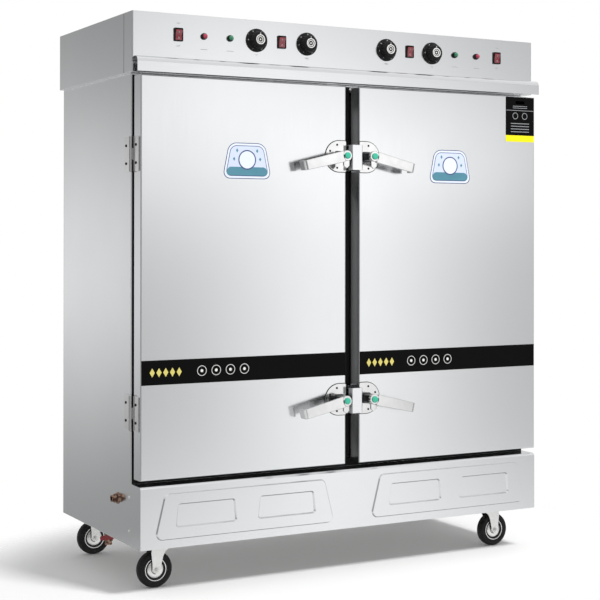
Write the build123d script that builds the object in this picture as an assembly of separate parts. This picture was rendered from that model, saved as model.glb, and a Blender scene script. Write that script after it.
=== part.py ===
from build123d import *
from math import cos, radians, sin
import os

# A two-door rice steamer cabinet on four swivel casters, in millimetres.
# X runs to the viewer's right, Y from front to back and Z up.
# The origin lies on the floor under the middle of the whole width and depth.

# Whole cabinet
body_width = 1400.0
body_depth = 577.0
cabinet_height = 1368.5
sheet = 1.2
bend = 3.0
face_gap = 0.3
screw_fit = 0.1
running_fit = 0.05
cut_over = 1.0
side_flange = 22.0

# Head with the controls
head_height = 175.0
head_overhang = 13.5
head_reach = 45.5
panel_wrap = 65.0
visor_reach = 40.0
visor_rise = 43.0
visor_drop = 2.0
visor_bend = 16.0
visor_flange = 14.0
head_foot_border = 30.0

# Base panel under the doors
base_height = 180.0
base_reach = 79.2
base_chamfer = 6.0
base_flange = 22.0
base_tab = 16.0
base_tab_border = 12.0
emboss_height = 4.5
emboss_slope = 35.0
emboss_low = 24.0
emboss_high = 158.5
emboss_side_border = 42.0
emboss_middle_border = 64.0
emboss_inner_lean = 35.0
emboss_outer_lean = 33.0
emboss_corner = 20.0
window_low = 58.0
window_high = 126.5
window_width_top = 182.0
window_width_foot = 197.0
window_outer_inset = 164.0
window_inner_inset = 165.0
window_corner = 9.0
window_depth = 5.5

# Front frame and the two steam chambers
frame_depth = 8.4
opening_border = 27.0
mullion_half = 34.0
chamber_depth = 515.0
chamber_corner = 12.0
liner_sheet = 1.0
tank_depth = 40.0
lip_depth = 22.0
foam_under_tank = 12.0

# Tray racks for trays of 600 by 400 mm
tray_width = 600.0
tray_clearance = 1.5
rail_leg = 15.0
rail_wall = 1.5
rail_length = 430.0
rail_pitch = 88.0
rail_count = 12
first_rail = 62.0
upright_width = 24.0
upright_wall = 3.0
upright_inset = 30.0
upright_foot = 40.0
upright_head = 20.0

# Heaters and the slotted plates over them
heater_radius = 5.0
heater_bend = 30.0
heater_spacing = 150.0
heater_height = 20.0
heater_length = 400.0
heater_flange_border = 9.0
heater_flange_wall = 4.0
heater_flange_height = 26.0
plate_wall = 1.5
plate_side_gap = 14.0
plate_end_gap = 1.5
plate_leg = 34.0
slot_length = 60.0
slot_width = 8.0
slot_rows = 5
slot_columns = 6

# Chassis
tube_size = 30.0
gusset_wall = 4.0
gusset_border = 7.0

# Doors
door_reach = 78.6
door_thickness = 49.4
door_gap = 47.8
door_bottom_gap = 17.6
door_top_gap = 11.3
door_corner = 3.0
inner_return = 16.0
inner_field_inset = 62.0
inner_field_height = 3.0
inner_field_corner = 30.0
inner_field_slope = 40.0
hinge_screw_room = 5.0
gasket_side_inset = 10.0
gasket_gap_inset = 8.0
gasket_foot = 17.0
gasket_foot_depth = 9.0
gasket_lip = 11.0
gasket_outer_corner = 14.0
gasket_inner_corner = 8.0
gasket_groove = 4.0

# Hinges
hinge_heights = (1133.0, 387.0)
hinge_leaf_height = 102.0
hinge_leaf_reach = 46.0
hinge_door_leaf_reach = 38.0
hinge_leaf_wall = 3.0
hinge_barrel_radius = 6.0
hinge_pin_radius = 2.5
hinge_pin_head = 1.5
hinge_screw_spacing = 52.0
hinge_screw_inset = 19.0
hinge_corner = 2.0
hinge_set_back = 1.0

# Latches
latch_heights = (1141.5, 397.5)
latch_inset = 24.7
latch_plate_radius = 48.0
latch_plate_wall = 2.5
latch_plate_corner = 5.0
latch_boss_width = 26.0
latch_boss_length = 39.0
latch_boss_corner = 4.0
latch_pin_radius = 5.0
latch_cap_radius = 10.0
latch_cap_height = 4.0
latch_screw_radius = 36.0
latch_screw_turns = (-78, -26, 26, 78)
lever_wall = 6.0
lever_hub_radius = 16.0
lever_hub_length = 12.0
lever_length = 150.0
lever_width_foot = 34.0
lever_width_end = 29.0
lever_droop = 13.0
lever_lip = 34.0
lever_lip_bend = 9.0
lever_nose = 38.0
lever_nose_width = 20.0
lever_nose_corner = 8.0
keeper_width = 38.0
keeper_height = 77.0
keeper_reach = 30.0
keeper_wall = 3.0
keeper_drop = 3.4

# Screws
screw_radius = 2.0
screw_head_radius = 4.2
screw_head_height = 2.4
screw_length = 7.0
base_screw_heights = (42.0, 139.5)
base_screw_set_back = 7.6

# Controls
control_height = 114.5
outer_switch_inset = 143.5
red_lamp_step = 82.0
green_lamp_step = 85.0
outer_knob_step = 88.0
inner_switch_step = 85.0
inner_knob_step = 87.0
switch_width = 28.0
switch_height = 39.0
switch_bezel = 5.0
switch_wall = 3.2
switch_body_depth = 20.0
switch_body_inset = 1.6
switch_corner = 3.0
switch_edge = 1.0
switch_floor = 2.0
switch_wall_keep = 5.0
rocker_clearance = 0.5
rocker_tilt = 10.0
rocker_rise = 7.0
rocker_dip = 2.5
rocker_pivot_depth = 0.5
rocker_pivot_radius = 1.3
rocker_belly = 0.62
lamp_radius = 10.0
lamp_bezel_height = 8.0
lamp_bezel_foot = 2.5
lamp_bezel_lip = 1.3
lamp_body_radius = 6.0
lamp_body_depth = 22.0
lens_radius = 7.2
lens_height = 7.0
lens_seat = 3.0
knob_skirt_radius = 35.0
knob_skirt_height = 6.0
knob_grip_radius = 27.0
knob_height = 25.0
knob_hub_radius = 14.5
knob_hub_height = 2.5
knob_gap = 1.0
knob_bore_depth = 14.0
knob_flutes = 18
knob_flute_radius = 2.2
knob_edge = 2.0
shaft_radius = 3.0
bush_radius = 4.5
bush_length = 5.0
bush_room = 1.5
dial_body_size = 42.0
dial_body_depth = 32.0
dial_body_corner = 4.0

# Water inlet, drain and its valve
inlet_set_back = 95.0
inlet_height = 124.5
inlet_flange = 34.0
inlet_flange_wall = 5.0
inlet_collar_radius = 13.0
inlet_collar_length = 7.0
inlet_nipple_radius = 10.0
inlet_nipple_length = 9.0
inlet_bore_radius = 7.0
inlet_tail = 25.0
inlet_nut = 6.0
drain_side_inset = 68.0
drain_set_back = 348.0
drain_drop = 40.0
drain_radius = 11.0
drain_run = 60.0
drain_bend = 24.0
valve_radius = 14.0
valve_length = 30.0
valve_bore_radius = 8.0
valve_outlet = 12.0
valve_stem_radius = 4.0
valve_stem_length = 12.0
valve_lever_length = 38.0
valve_lever_width = 14.0
valve_lever_wall = 3.0
valve_hub_radius = 8.0
valve_hub_length = 8.0
valve_hub_seat = 2.0

# Casters
caster_height = 136.0
caster_side_inset = 122.0
caster_end_inset = 35.0
caster_trail = 32.0
caster_plate_length = 95.0
caster_plate_width = 67.0
caster_plate_wall = 4.0
caster_plate_corner = 6.0
caster_bolt_inset = 10.0
caster_bolt_radius = 4.2
race_radius = 26.0
race_height = 6.0
kingpin_radius = 6.0
kingpin_nut_radius = 10.0
kingpin_nut_height = 3.0
fork_wall = 2.5
fork_crown = 3.0
fork_end_radius = 12.0
fork_reach = 45.0
axle_radius = 4.0
axle_head_radius = 7.0
axle_head_height = 5.0
wheel_radius = 54.0
wheel_width = 30.0
wheel_side_gap = 2.5
rim_radius = 34.5
rim_hub_radius = 10.0
rim_cover_radius = 26.0
rim_wall = 3.5
rim_edge = 2.0
rim_cover_depth = 4.0
rim_cover_slope = 3.0
rim_well_depth = 10.0
tyre_seat = 0.1
tyre_shoulder = 8.0

# Places that follow from the sizes above
half_width = body_width / 2
latch_stack = latch_plate_wall + latch_boss_length + lever_hub_length + latch_cap_height + face_gap
body_middle = (door_reach + latch_stack) / 2
body_front = body_middle - body_depth / 2
body_back = body_middle + body_depth / 2
frame_front = body_front - frame_depth
door_front = body_front - door_reach
door_back = door_front + door_thickness
base_front = body_front - base_reach
panel_front = body_front - head_reach
seam = panel_front + panel_wrap
head_half = half_width + head_overhang
emboss_outer_foot = half_width - emboss_side_border
window_outer_centre = emboss_outer_foot - window_outer_inset
window_inner_centre = emboss_middle_border + window_inner_inset
body_bottom = caster_height
base_top = body_bottom + base_height
body_top = body_bottom + cabinet_height
head_top = body_top + head_height
door_bottom = base_top + door_bottom_gap
door_top = body_top - door_top_gap
door_inner_x = door_gap / 2
opening_low = door_bottom + opening_border
opening_high = door_top - opening_border
chamber_width = tray_width + 2 * (tray_clearance + rail_wall + upright_wall)
chamber_inner_x = mullion_half
chamber_outer_x = chamber_inner_x + chamber_width
chamber_middle_x = chamber_inner_x + chamber_width / 2
chamber_front = frame_front + lip_depth
chamber_back = chamber_front + chamber_depth
tank_floor = opening_low - tank_depth
control_z = body_top + control_height
outer_switch_x = head_half - outer_switch_inset
red_lamp_x = outer_switch_x - red_lamp_step
green_lamp_x = red_lamp_x - green_lamp_step
outer_knob_x = green_lamp_x - outer_knob_step
inner_switch_x = outer_knob_x - inner_switch_step
inner_knob_x = inner_switch_x - inner_knob_step
latch_x = door_inner_x + latch_inset
hinge_x = half_width + hinge_barrel_radius
hinge_y = (frame_front + door_back) / 2
lever_back = door_front - latch_plate_wall - latch_boss_length - face_gap
lever_front = lever_back - lever_hub_length
axle_z = wheel_radius
switch_xs = (outer_switch_x, inner_switch_x)
knob_xs = (outer_knob_x, inner_knob_x)
sides = {"left": -1, "right": 1}


def block(x_low, x_high, y_low, y_high, z_low, z_high):
    """A box between two limits on each axis."""
    middle = Pos((x_low + x_high) / 2, (y_low + y_high) / 2, (z_low + z_high) / 2)
    return middle * Box(x_high - x_low, y_high - y_low, z_high - z_low)


def along_x(profile, low, high):
    """Extrude a profile drawn in Y and Z between two X limits."""
    return extrude(Plane.YZ.offset(low) * profile, high - low)


def along_y(profile, low, high):
    """Extrude a profile drawn in X and Z between two Y limits."""
    return extrude(Plane.XZ.offset(-high) * profile, high - low)


def along_z(profile, low, high):
    """Extrude a profile drawn in X and Y between two Z limits."""
    return extrude(Plane.XY.offset(low) * profile, high - low)


def rod(start, direction, radius, length):
    """A cylinder from a point along a direction."""
    return extrude(Plane(origin=start, z_dir=direction) * Circle(radius), length)


def folded(points, wall=sheet):
    """The section of a folded sheet whose outer line is given, with its wall to the left."""
    line = Polyline(*points)
    return make_face(offset(line, wall, side=Side.LEFT, kind=Kind.INTERSECTION).edges())


def other_side(shape):
    """The mirror image of a shape on the other side of the middle."""
    return mirror(shape, about=Plane.YZ)


def on_side(shape, side):
    """A shape made for the right side, kept or mirrored to the left."""
    return shape if side > 0 else other_side(shape)


def both_sides(shape):
    """A shape made for the right side, together with its mirror image."""
    return [shape, other_side(shape)]


def save(name, *pieces):
    """Write the solids of one sub-part to its file."""
    solids = [solid for piece in pieces for solid in piece.solids()]
    export_step(Compound(children=solids), f"parts/{name}.step")


# Screws and their holes

def hinge_screw_places():
    """Height of each screw row on the hinges of one side."""
    half = hinge_screw_spacing / 2
    return [body_bottom + height + step for height in hinge_heights for step in (-half, half)]


def hinge_holes(y):
    """Holes through the right side, one for each hinge screw at depth y."""
    radius = screw_radius + screw_fit
    start_x = half_width - screw_length
    reach = screw_length + hinge_leaf_wall * 2
    return [rod((start_x, y, z), (1, 0, 0), radius, reach) for z in hinge_screw_places()]


def screw(x, y, z, grip):
    """A pan head screw on the right side, with its head seated at x and its shank through grip."""
    shank = rod((x - grip, y, z), (1, 0, 0), screw_radius, grip)
    head = rod((x, y, z), (1, 0, 0), screw_head_radius, screw_head_height)
    rounded = fillet(head.edges().group_by(Axis.X)[-1], screw_head_height * 0.6)
    return shank + rounded


cabinet_screw_y = frame_front + hinge_screw_inset + hinge_leaf_reach * 0.35
door_screw_y = door_back - hinge_screw_inset
base_screw_y = body_front + base_screw_set_back
base_screw_places = [body_bottom + height for height in base_screw_heights]


def base_screw_holes():
    """Holes for the screws that hold the base panel's tab to the side panel."""
    radius = screw_radius + screw_fit
    start_x = half_width - screw_length
    return [rod((start_x, base_screw_y, z), (1, 0, 0), radius, screw_length * 2) for z in base_screw_places]


# Cabinet body

def side_panel():
    """The right side panel with a flange at its front and at its back."""
    back = body_back - sheet
    points = [
        (half_width - side_flange, body_front),
        (half_width, body_front),
        (half_width, back),
        (half_width - side_flange, back),
    ]
    panel = along_z(folded(points), body_bottom, body_top - sheet)
    foot = block(
        half_width - side_flange, half_width - sheet,
        body_front, body_front + sheet,
        body_bottom, base_top,
    )
    inlet_y = body_front + inlet_set_back
    inlet_z = body_bottom + inlet_height
    inlet_hole = rod(
        (half_width - inlet_tail, inlet_y, inlet_z), (1, 0, 0),
        inlet_nipple_radius + screw_fit, inlet_tail * 2,
    )
    cuts = [foot, *hinge_holes(cabinet_screw_y), *base_screw_holes()]
    return panel - cuts, inlet_hole


def back_roof_panel():
    """The back wall and the roof, folded from one sheet."""
    points = [(body_back, body_bottom), (body_back, body_top), (body_front, body_top)]
    return along_x(folded(points), -half_width, half_width)


def face_frame():
    """The shallow pan round the two chamber mouths, with a lip into each mouth."""
    pan = block(-half_width, half_width, frame_front, body_front, base_top, body_top - sheet)
    upright_edges = pan.edges().filter_by(Axis.Z).group_by(Axis.Y)[0]
    pan = fillet(upright_edges, bend)
    pan = offset(pan, -sheet, openings=pan.faces().sort_by(Axis.Y)[-1])
    for mouth in both_sides(mouth_profile(0)):
        pan -= along_y(mouth, frame_front - cut_over, body_front)
    lip = mouth_profile(liner_sheet) - mouth_profile(0)
    lips = [along_y(piece, frame_front, chamber_front) for piece in both_sides(lip)]
    return pan + lips


def mouth_profile(grow):
    """The right chamber's mouth in X and Z, grown all round."""
    height = opening_high - opening_low
    middle = Pos(chamber_middle_x, (opening_high + opening_low) / 2)
    return middle * RectangleRounded(
        chamber_width + 2 * grow, height + 2 * grow, chamber_corner + grow
    )


def tank_profile(grow):
    """The right chamber's section in X and Z with its water tank, grown all round."""
    height = opening_high - tank_floor
    middle = Pos(chamber_middle_x, (opening_high + tank_floor) / 2)
    return middle * RectangleRounded(
        chamber_width + 2 * grow, height + 2 * grow, chamber_corner + grow
    )


def chamber_liner():
    """The right steam chamber: a seamless box whose sunk floor is the water tank."""
    outer = along_y(tank_profile(liner_sheet), chamber_front, chamber_back + liner_sheet)
    inner = along_y(tank_profile(0), chamber_front + liner_sheet, chamber_back)
    mouth = along_y(mouth_profile(0), chamber_front, chamber_front + liner_sheet)
    return outer - inner - mouth


def insulation():
    """Foam that fills the space between the panels and the two liners."""
    foam_front = body_front + sheet
    foam = block(
        -half_width + sheet, half_width - sheet,
        foam_front, body_back - 2 * sheet,
        tank_floor - foam_under_tank, body_top - sheet,
    )
    hollow = along_y(tank_profile(liner_sheet), foam_front, chamber_back + liner_sheet)
    foam -= both_sides(hollow)
    for hole in hinge_holes(cabinet_screw_y):
        foam -= both_sides(hole)
    return foam - drain_hole()


def chassis_frame():
    """Square tube frame with a floor sheet and a mounting plate over each caster."""
    outer_x = half_width - sheet
    front = body_front
    back = body_back - 2 * sheet
    low = body_bottom
    high = low + tube_size
    frame = block(-outer_x, outer_x, front, back, low, high)
    frame -= block(
        -outer_x + tube_size, outer_x - tube_size,
        front + tube_size, back - tube_size,
        low + sheet, high,
    )
    plate_reach = caster_side_inset + caster_plate_length / 2 + gusset_border
    plate_depth = caster_end_inset + caster_plate_width / 2 + gusset_border
    for x_sign in (-1, 1):
        x_limits = sorted((x_sign * outer_x, x_sign * (half_width - plate_reach)))
        frame += block(*x_limits, front, front + plate_depth, low, low + gusset_wall)
        frame += block(*x_limits, back - plate_depth, back, low, low + gusset_wall)
    return frame - drain_hole()


# Base panel

def trapezoid(x_low_foot, x_high_foot, x_low_top, x_high_top, z_low, z_high, corner):
    """A trapezoid with rounded corners in X and Z."""
    corners = [
        (x_low_foot, z_low),
        (x_high_foot, z_low),
        (x_high_top, z_high),
        (x_low_top, z_high),
    ]
    shape = make_face(Polyline(*corners, close=True))
    return fillet(shape.vertices(), corner)


def raised_field():
    """Outline of the raised field on the right half of the base panel."""
    return trapezoid(
        emboss_middle_border, emboss_outer_foot,
        emboss_middle_border + emboss_inner_lean, emboss_outer_foot - emboss_outer_lean,
        body_bottom + emboss_low, body_bottom + emboss_high,
        emboss_corner,
    )


def sunk_window(centre):
    """Outline of one sunk window inside the raised field."""
    half_top = window_width_top / 2
    half_foot = window_width_foot / 2
    return trapezoid(
        centre - half_foot, centre + half_foot,
        centre - half_top, centre + half_top,
        body_bottom + window_low, body_bottom + window_high,
        window_corner,
    )


def base_form(inset, back):
    """The base panel's full form up to y back, with its skin taken in by inset."""
    low = body_bottom + inset
    high = base_top - inset
    front = base_front + inset
    chamfer = base_chamfer - inset * (2 - 2 ** 0.5)
    section = [
        (back, low),
        (front, low),
        (front, high - chamfer),
        (front + chamfer, high),
        (back, high),
    ]
    width = half_width - inset
    form = along_x(make_face(Polyline(*section, close=True)), -width, width)
    field = extrude(
        Plane.XZ.offset(-front) * raised_field(), emboss_height, taper=emboss_slope
    )
    form += both_sides(field)
    for centre in (window_outer_centre, window_inner_centre):
        face_y = front - emboss_height
        window = extrude(
            Plane.XZ.offset(-face_y) * sunk_window(centre), -window_depth, taper=emboss_slope
        )
        form -= both_sides(window)
    return form


def base_panel():
    """The pressed panel under the doors, with flanges and screwed side tabs."""
    skin = base_form(0, body_front) - base_form(sheet, body_front + cut_over)
    open_foot = block(
        -half_width + sheet, half_width - sheet,
        base_front + base_flange, body_front,
        body_bottom, body_bottom + sheet,
    )
    skin -= open_foot
    tab_low = base_screw_places[0] - base_tab_border
    tab_high = base_screw_places[-1] + base_tab_border
    tab = block(
        half_width - 2 * sheet, half_width - sheet,
        body_front - base_tab, body_front + base_tab,
        tab_low, tab_high,
    )
    tab -= base_screw_holes()
    return skin + both_sides(tab)


# Racks, plates and heaters

def rail_levels():
    """Height of the top of each pair of tray rails."""
    return [opening_low + first_rail + rail_pitch * step for step in range(rail_count)]


def tray_rack():
    """Rails and uprights on both walls of the right chamber."""
    rail_front = chamber_front + (chamber_depth - rail_length) / 2
    rail_back = rail_front + rail_length
    levels = rail_levels()
    pieces = []
    for wall_x, inward in ((chamber_inner_x, 1), (chamber_outer_x, -1)):
        upright_x = sorted((wall_x, wall_x + inward * upright_wall))
        for y in (rail_front + upright_inset, rail_back - upright_inset - upright_width):
            pieces.append(block(
                *upright_x, y, y + upright_width, levels[0] - upright_foot, levels[-1] + upright_head
            ))
        seat_x = wall_x + inward * upright_wall
        for level in levels:
            line = [
                (seat_x, level - rail_leg),
                (seat_x, level),
                (seat_x + inward * rail_leg, level),
            ]
            section = folded(line if inward < 0 else line[::-1], rail_wall)
            pieces.append(along_y(section, rail_front, rail_back))
    return pieces


def heater(x):
    """A hairpin heater low in the right tank, on a flange against the chamber's back."""
    z = tank_floor + heater_height
    flange_front = chamber_back - heater_flange_wall
    low = x - heater_bend
    high = x + heater_bend
    bend_y = flange_front - heater_length + heater_bend
    path = Polyline((low, flange_front, z), (low, bend_y, z))
    path += ThreePointArc((low, bend_y, z), (x, bend_y - heater_bend, z), (high, bend_y, z))
    path += Polyline((high, bend_y, z), (high, flange_front, z))
    section = Plane(origin=(low, flange_front, z), z_dir=(0, -1, 0)) * Circle(heater_radius)
    tube = sweep(section, path=path)
    border = heater_flange_border
    half = heater_flange_height / 2
    flange = block(low - border, high + border, flange_front, chamber_back, z - half, z + half)
    flange = fillet(flange.edges().filter_by(Axis.Y), border * 0.9)
    return flange + tube


def heaters():
    """The hairpin heaters of the right tank."""
    half = heater_spacing / 2
    return [heater(chamber_middle_x + step) for step in (-half, half)]


def splash_plate():
    """The slotted plate over the right tank, on two folded legs."""
    low_x = chamber_inner_x + plate_side_gap
    high_x = chamber_outer_x - plate_side_gap
    top = tank_floor + plate_leg
    points = [
        (high_x, tank_floor),
        (high_x, top),
        (low_x, top),
        (low_x, tank_floor),
    ]
    y_low = chamber_front + liner_sheet + plate_end_gap
    y_high = chamber_back - plate_end_gap - heater_flange_wall
    plate = along_y(folded(points, plate_wall), y_low, y_high)
    step_x = chamber_width / (slot_columns + 1)
    step_y = chamber_depth / (slot_rows + 1)
    slots = []
    for column in range(slot_columns):
        for row in range(slot_rows):
            x = chamber_inner_x + step_x * (column + 1)
            y = chamber_front + step_y * (row + 1)
            slot = Pos(x, y) * SlotOverall(slot_length, slot_width)
            slots.append(along_z(slot, top - plate_wall - cut_over, top + cut_over))
    return plate - slots


# Head

def head_cover():
    """Top, sides, back and foot flange of the head, open towards the control panel."""
    cover = block(-head_half, head_half, seam, body_back, body_top, head_top)
    cover = offset(cover, -sheet, openings=cover.faces().sort_by(Axis.Y)[0])
    foot = block(
        -half_width + head_foot_border, half_width - head_foot_border,
        seam, body_back - head_foot_border,
        body_top, body_top + sheet,
    )
    return cover - foot


def control_panel():
    """The front of the head, wrapped back along its sides, with every cut-out."""
    panel = block(-head_half, head_half, panel_front, seam, body_top, head_top)
    front_edges = panel.edges().filter_by(Axis.Z).group_by(Axis.Y)[0]
    panel = fillet(front_edges, bend)
    panel = offset(panel, -sheet, openings=panel.faces().sort_by(Axis.Y)[-1])
    body_w = switch_width - 2 * switch_body_inset + 2 * screw_fit
    body_h = switch_height - 2 * switch_body_inset + 2 * screw_fit
    cut_y = (panel_front - cut_over, panel_front + sheet + cut_over)
    cuts = []
    for x in switch_xs:
        cuts.append(along_y(Pos(x, control_z) * Rectangle(body_w, body_h), *cut_y))
    for x in (red_lamp_x, green_lamp_x):
        cuts.append(along_y(Pos(x, control_z) * Circle(lamp_body_radius + screw_fit), *cut_y))
    for x in knob_xs:
        cuts.append(along_y(Pos(x, control_z) * Circle(bush_radius + screw_fit), *cut_y))
    for cut in cuts:
        panel -= both_sides(cut)
    return panel


def visor():
    """The bent lip along the foot of the control panel that sheds steam and drips."""
    top = body_top + visor_rise
    low = body_top - visor_drop
    front = panel_front - visor_reach
    line = [
        (panel_front, top - visor_flange),
        (panel_front, top),
        (front, top),
        (front, low),
    ]
    section = folded(line)
    outer_corner = section.vertices().sort_by_distance((front, top))[0]
    section = fillet(outer_corner, visor_bend)
    inner_corner = section.vertices().sort_by_distance((front + sheet, top - sheet))[0]
    section = fillet(inner_corner, visor_bend - sheet)
    return along_x(section, -head_half, head_half)


# Controls

def switch_housing(x):
    """A snap-in housing with a well for its rocker."""
    bezel = Pos(x, control_z) * RectangleRounded(switch_width, switch_height, switch_corner)
    body = Pos(x, control_z) * Rectangle(
        switch_width - 2 * switch_body_inset, switch_height - 2 * switch_body_inset
    )
    well = Pos(x, control_z) * Rectangle(
        switch_width - 2 * switch_wall, switch_height - 2 * switch_wall
    )
    housing = along_y(bezel, panel_front - switch_bezel, panel_front)
    housing = fillet(housing.edges().group_by(Axis.Y)[0], switch_edge)
    housing += along_y(body, panel_front, panel_front + switch_body_depth)
    well_end = panel_front + switch_body_depth - switch_floor
    housing -= along_y(well, panel_front - switch_bezel, well_end)
    pivot_y = panel_front + rocker_pivot_depth
    bore = rod(
        (x - switch_width, pivot_y, control_z), (1, 0, 0),
        rocker_pivot_radius + running_fit, switch_width * 2,
    )
    keep = block(
        x - switch_width / 2 + switch_body_inset, x + switch_width / 2 - switch_body_inset,
        panel_front - switch_bezel, panel_front + switch_body_depth,
        control_z - switch_wall_keep, control_z + switch_wall_keep,
    )
    return housing - (bore & keep)


def rocker(x):
    """A rocker that turns on two stub pins in its housing."""
    half_x = switch_width / 2 - switch_wall - rocker_clearance
    half_z = switch_height / 2 - switch_wall - 2 * rocker_clearance
    points = [(-half_z, rocker_rise), (0, rocker_rise - rocker_dip), (half_z, rocker_rise)]
    line = Polyline(*points)
    sweep_radius = (half_z ** 2 + rocker_rise ** 2) ** 0.5
    belly = ThreePointArc(points[-1], (0, -sweep_radius * rocker_belly), points[0])
    section = make_face(line.edges() + belly.edges())
    side_view = Plane(origin=(x - half_x, 0, 0), x_dir=(0, 0, 1), z_dir=(1, 0, 0))
    key = extrude(side_view * section, 2 * half_x)
    pin = rod(
        (x - switch_width / 2 + switch_body_inset, 0, 0), (1, 0, 0),
        rocker_pivot_radius, switch_width - 2 * switch_body_inset,
    )
    key = key + pin
    key = Rot(rocker_tilt, 0, 0) * key
    return Pos(0, panel_front + rocker_pivot_depth, control_z) * key


def lamp_bezel(x):
    """A tapered black bezel with its body through the panel."""
    seat_radius = lens_radius + screw_fit
    profile = Polyline(
        (0, lamp_body_depth), (lamp_body_radius, lamp_body_depth), (lamp_body_radius, 0),
        (lamp_radius, 0), (lamp_radius, -lamp_bezel_foot),
        (seat_radius + lamp_bezel_lip, -lamp_bezel_height),
        (seat_radius, -lamp_bezel_height), (seat_radius, lens_seat - lamp_bezel_height),
        (0, lens_seat - lamp_bezel_height), (0, lamp_body_depth),
    )
    turned = revolve(Plane.XY * make_face(profile), Axis.Y)
    return Pos(x, panel_front, control_z) * turned


def lamp_lens(x):
    """A rounded lens seated in its bezel."""
    seat_y = panel_front - lamp_bezel_height + lens_seat
    lens = rod((x, seat_y, control_z), (0, -1, 0), lens_radius, lens_height + lens_seat)
    return fillet(lens.edges().group_by(Axis.Y)[0], lens_radius * 0.7)


def dial_mechanism(x):
    """A timer or thermostat behind the panel, with its bush and shaft through it."""
    half = dial_body_size / 2
    inside = panel_front + sheet
    body = block(
        x - half, x + half, inside, inside + dial_body_depth, control_z - half, control_z + half
    )
    body = fillet(body.edges().filter_by(Axis.Y), dial_body_corner)
    bush = rod((x, inside, control_z), (0, -1, 0), bush_radius, bush_length)
    reach = sheet + knob_gap + knob_bore_depth
    shaft = rod((x, inside, control_z), (0, -1, 0), shaft_radius, reach)
    return body + bush + shaft


def knob(x):
    """A skirted knob with a fluted grip and a raised hub."""
    back = -knob_gap
    skirt_face = back - knob_skirt_height
    grip_face = -knob_gap - knob_height
    hub_face = grip_face - knob_hub_height
    profile = Polyline(
        (0, back), (knob_skirt_radius, back), (knob_skirt_radius, back - knob_edge),
        (knob_grip_radius + knob_edge, skirt_face), (knob_grip_radius, skirt_face),
        (knob_grip_radius - knob_edge, grip_face + knob_edge),
        (knob_grip_radius - 2 * knob_edge, grip_face),
        (knob_hub_radius, grip_face), (knob_hub_radius, hub_face), (0, hub_face), (0, back),
    )
    turned = revolve(Plane.XY * make_face(profile), Axis.Y)
    recess_radius = bush_radius + bush_room
    recess = rod((0, back, 0), (0, -1, 0), recess_radius, bush_length - sheet)
    bore = rod((0, back, 0), (0, -1, 0), shaft_radius + running_fit, knob_bore_depth + face_gap)
    flutes = []
    for step in range(knob_flutes):
        angle = radians(360 / knob_flutes * step)
        spot = (knob_grip_radius * cos(angle), skirt_face, knob_grip_radius * sin(angle))
        flutes.append(rod(spot, (0, -1, 0), knob_flute_radius, knob_height))
    return Pos(x, panel_front, control_z) * (turned - recess - bore - flutes)


# Doors

def door_shell():
    """The right door's outer pan, open towards the cabinet."""
    pan = block(door_inner_x, half_width, door_front, door_back, door_bottom, door_top)
    front_edges = pan.edges().group_by(Axis.Y)[0]
    pan = fillet(front_edges, door_corner)
    pan = offset(pan, -sheet, openings=pan.faces().sort_by(Axis.Y)[-1])
    return pan - hinge_holes(door_screw_y)


def door_inner():
    """The right door's inner pan, with a raised field towards the chamber."""
    low_x = door_inner_x + sheet
    high_x = half_width - sheet
    low_z = door_bottom + sheet
    high_z = door_top - sheet
    pan = block(low_x, high_x, door_back - inner_return, door_back, low_z, high_z)
    pan = offset(pan, -sheet, openings=pan.faces().sort_by(Axis.Y)[0])
    field = Pos(chamber_middle_x, (opening_low + opening_high) / 2) * RectangleRounded(
        chamber_width - 2 * inner_field_inset,
        opening_high - opening_low - 2 * inner_field_inset,
        inner_field_corner,
    )
    plane = Plane.XZ.offset(-door_back)
    outer = extrude(plane * field, -inner_field_height, taper=inner_field_slope)
    inner_plane = Plane.XZ.offset(-door_back + sheet)
    inner = extrude(inner_plane * field, -inner_field_height, taper=inner_field_slope)
    pan = pan + outer - inner
    screw_space = block(
        half_width - screw_length - hinge_screw_room, half_width,
        door_screw_y - hinge_screw_room, door_screw_y + hinge_screw_room,
        door_bottom, door_top,
    )
    return pan - screw_space


def ring(inset, width):
    """A rectangular ring in X and Z that follows the right door's edge."""
    low_x = door_inner_x + gasket_gap_inset + inset
    high_x = half_width - gasket_side_inset - inset
    low_z = door_bottom + gasket_side_inset + inset
    high_z = door_top - gasket_side_inset - inset
    middle = Pos((low_x + high_x) / 2, (low_z + high_z) / 2)
    outer = middle * RectangleRounded(high_x - low_x, high_z - low_z, gasket_outer_corner)
    inner = middle * RectangleRounded(
        high_x - low_x - 2 * width, high_z - low_z - 2 * width, gasket_inner_corner
    )
    return outer - inner


def door_gasket():
    """The black silicone seal round the right door's inner side."""
    foot_face = door_back + gasket_foot_depth
    lip_face = frame_front - face_gap
    foot = along_y(ring(0, gasket_foot), door_back, foot_face)
    lip_inset = (gasket_foot - gasket_lip) / 2
    lip = along_y(ring(lip_inset, gasket_lip), foot_face, lip_face)
    groove_inset = lip_inset + gasket_lip * 0.3
    groove = along_y(ring(groove_inset, gasket_lip * 0.4), lip_face - gasket_groove, lip_face)
    return foot + lip - groove


# Hinges

def hinge_knuckle(z_low, z_high, towards):
    """A knuckle with the strap that joins it to its leaf at y towards."""
    barrel = rod((hinge_x, hinge_y, z_low), (0, 0, 1), hinge_barrel_radius, z_high - z_low)
    y_limits = sorted((hinge_y, towards))
    strap = block(half_width, half_width + hinge_leaf_wall, *y_limits, z_low, z_high)
    return barrel + strap


def hinge_bore(z_low, z_high):
    """The hole for a hinge pin."""
    return rod((hinge_x, hinge_y, z_low), (0, 0, 1), hinge_pin_radius + running_fit, z_high - z_low)


def knuckle_limits(height):
    """Low end, two joints and high end of one hinge's knuckles."""
    low = body_bottom + height - hinge_leaf_height / 2
    third = hinge_leaf_height / 3
    return low, low + third, low + 2 * third, low + hinge_leaf_height


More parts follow.
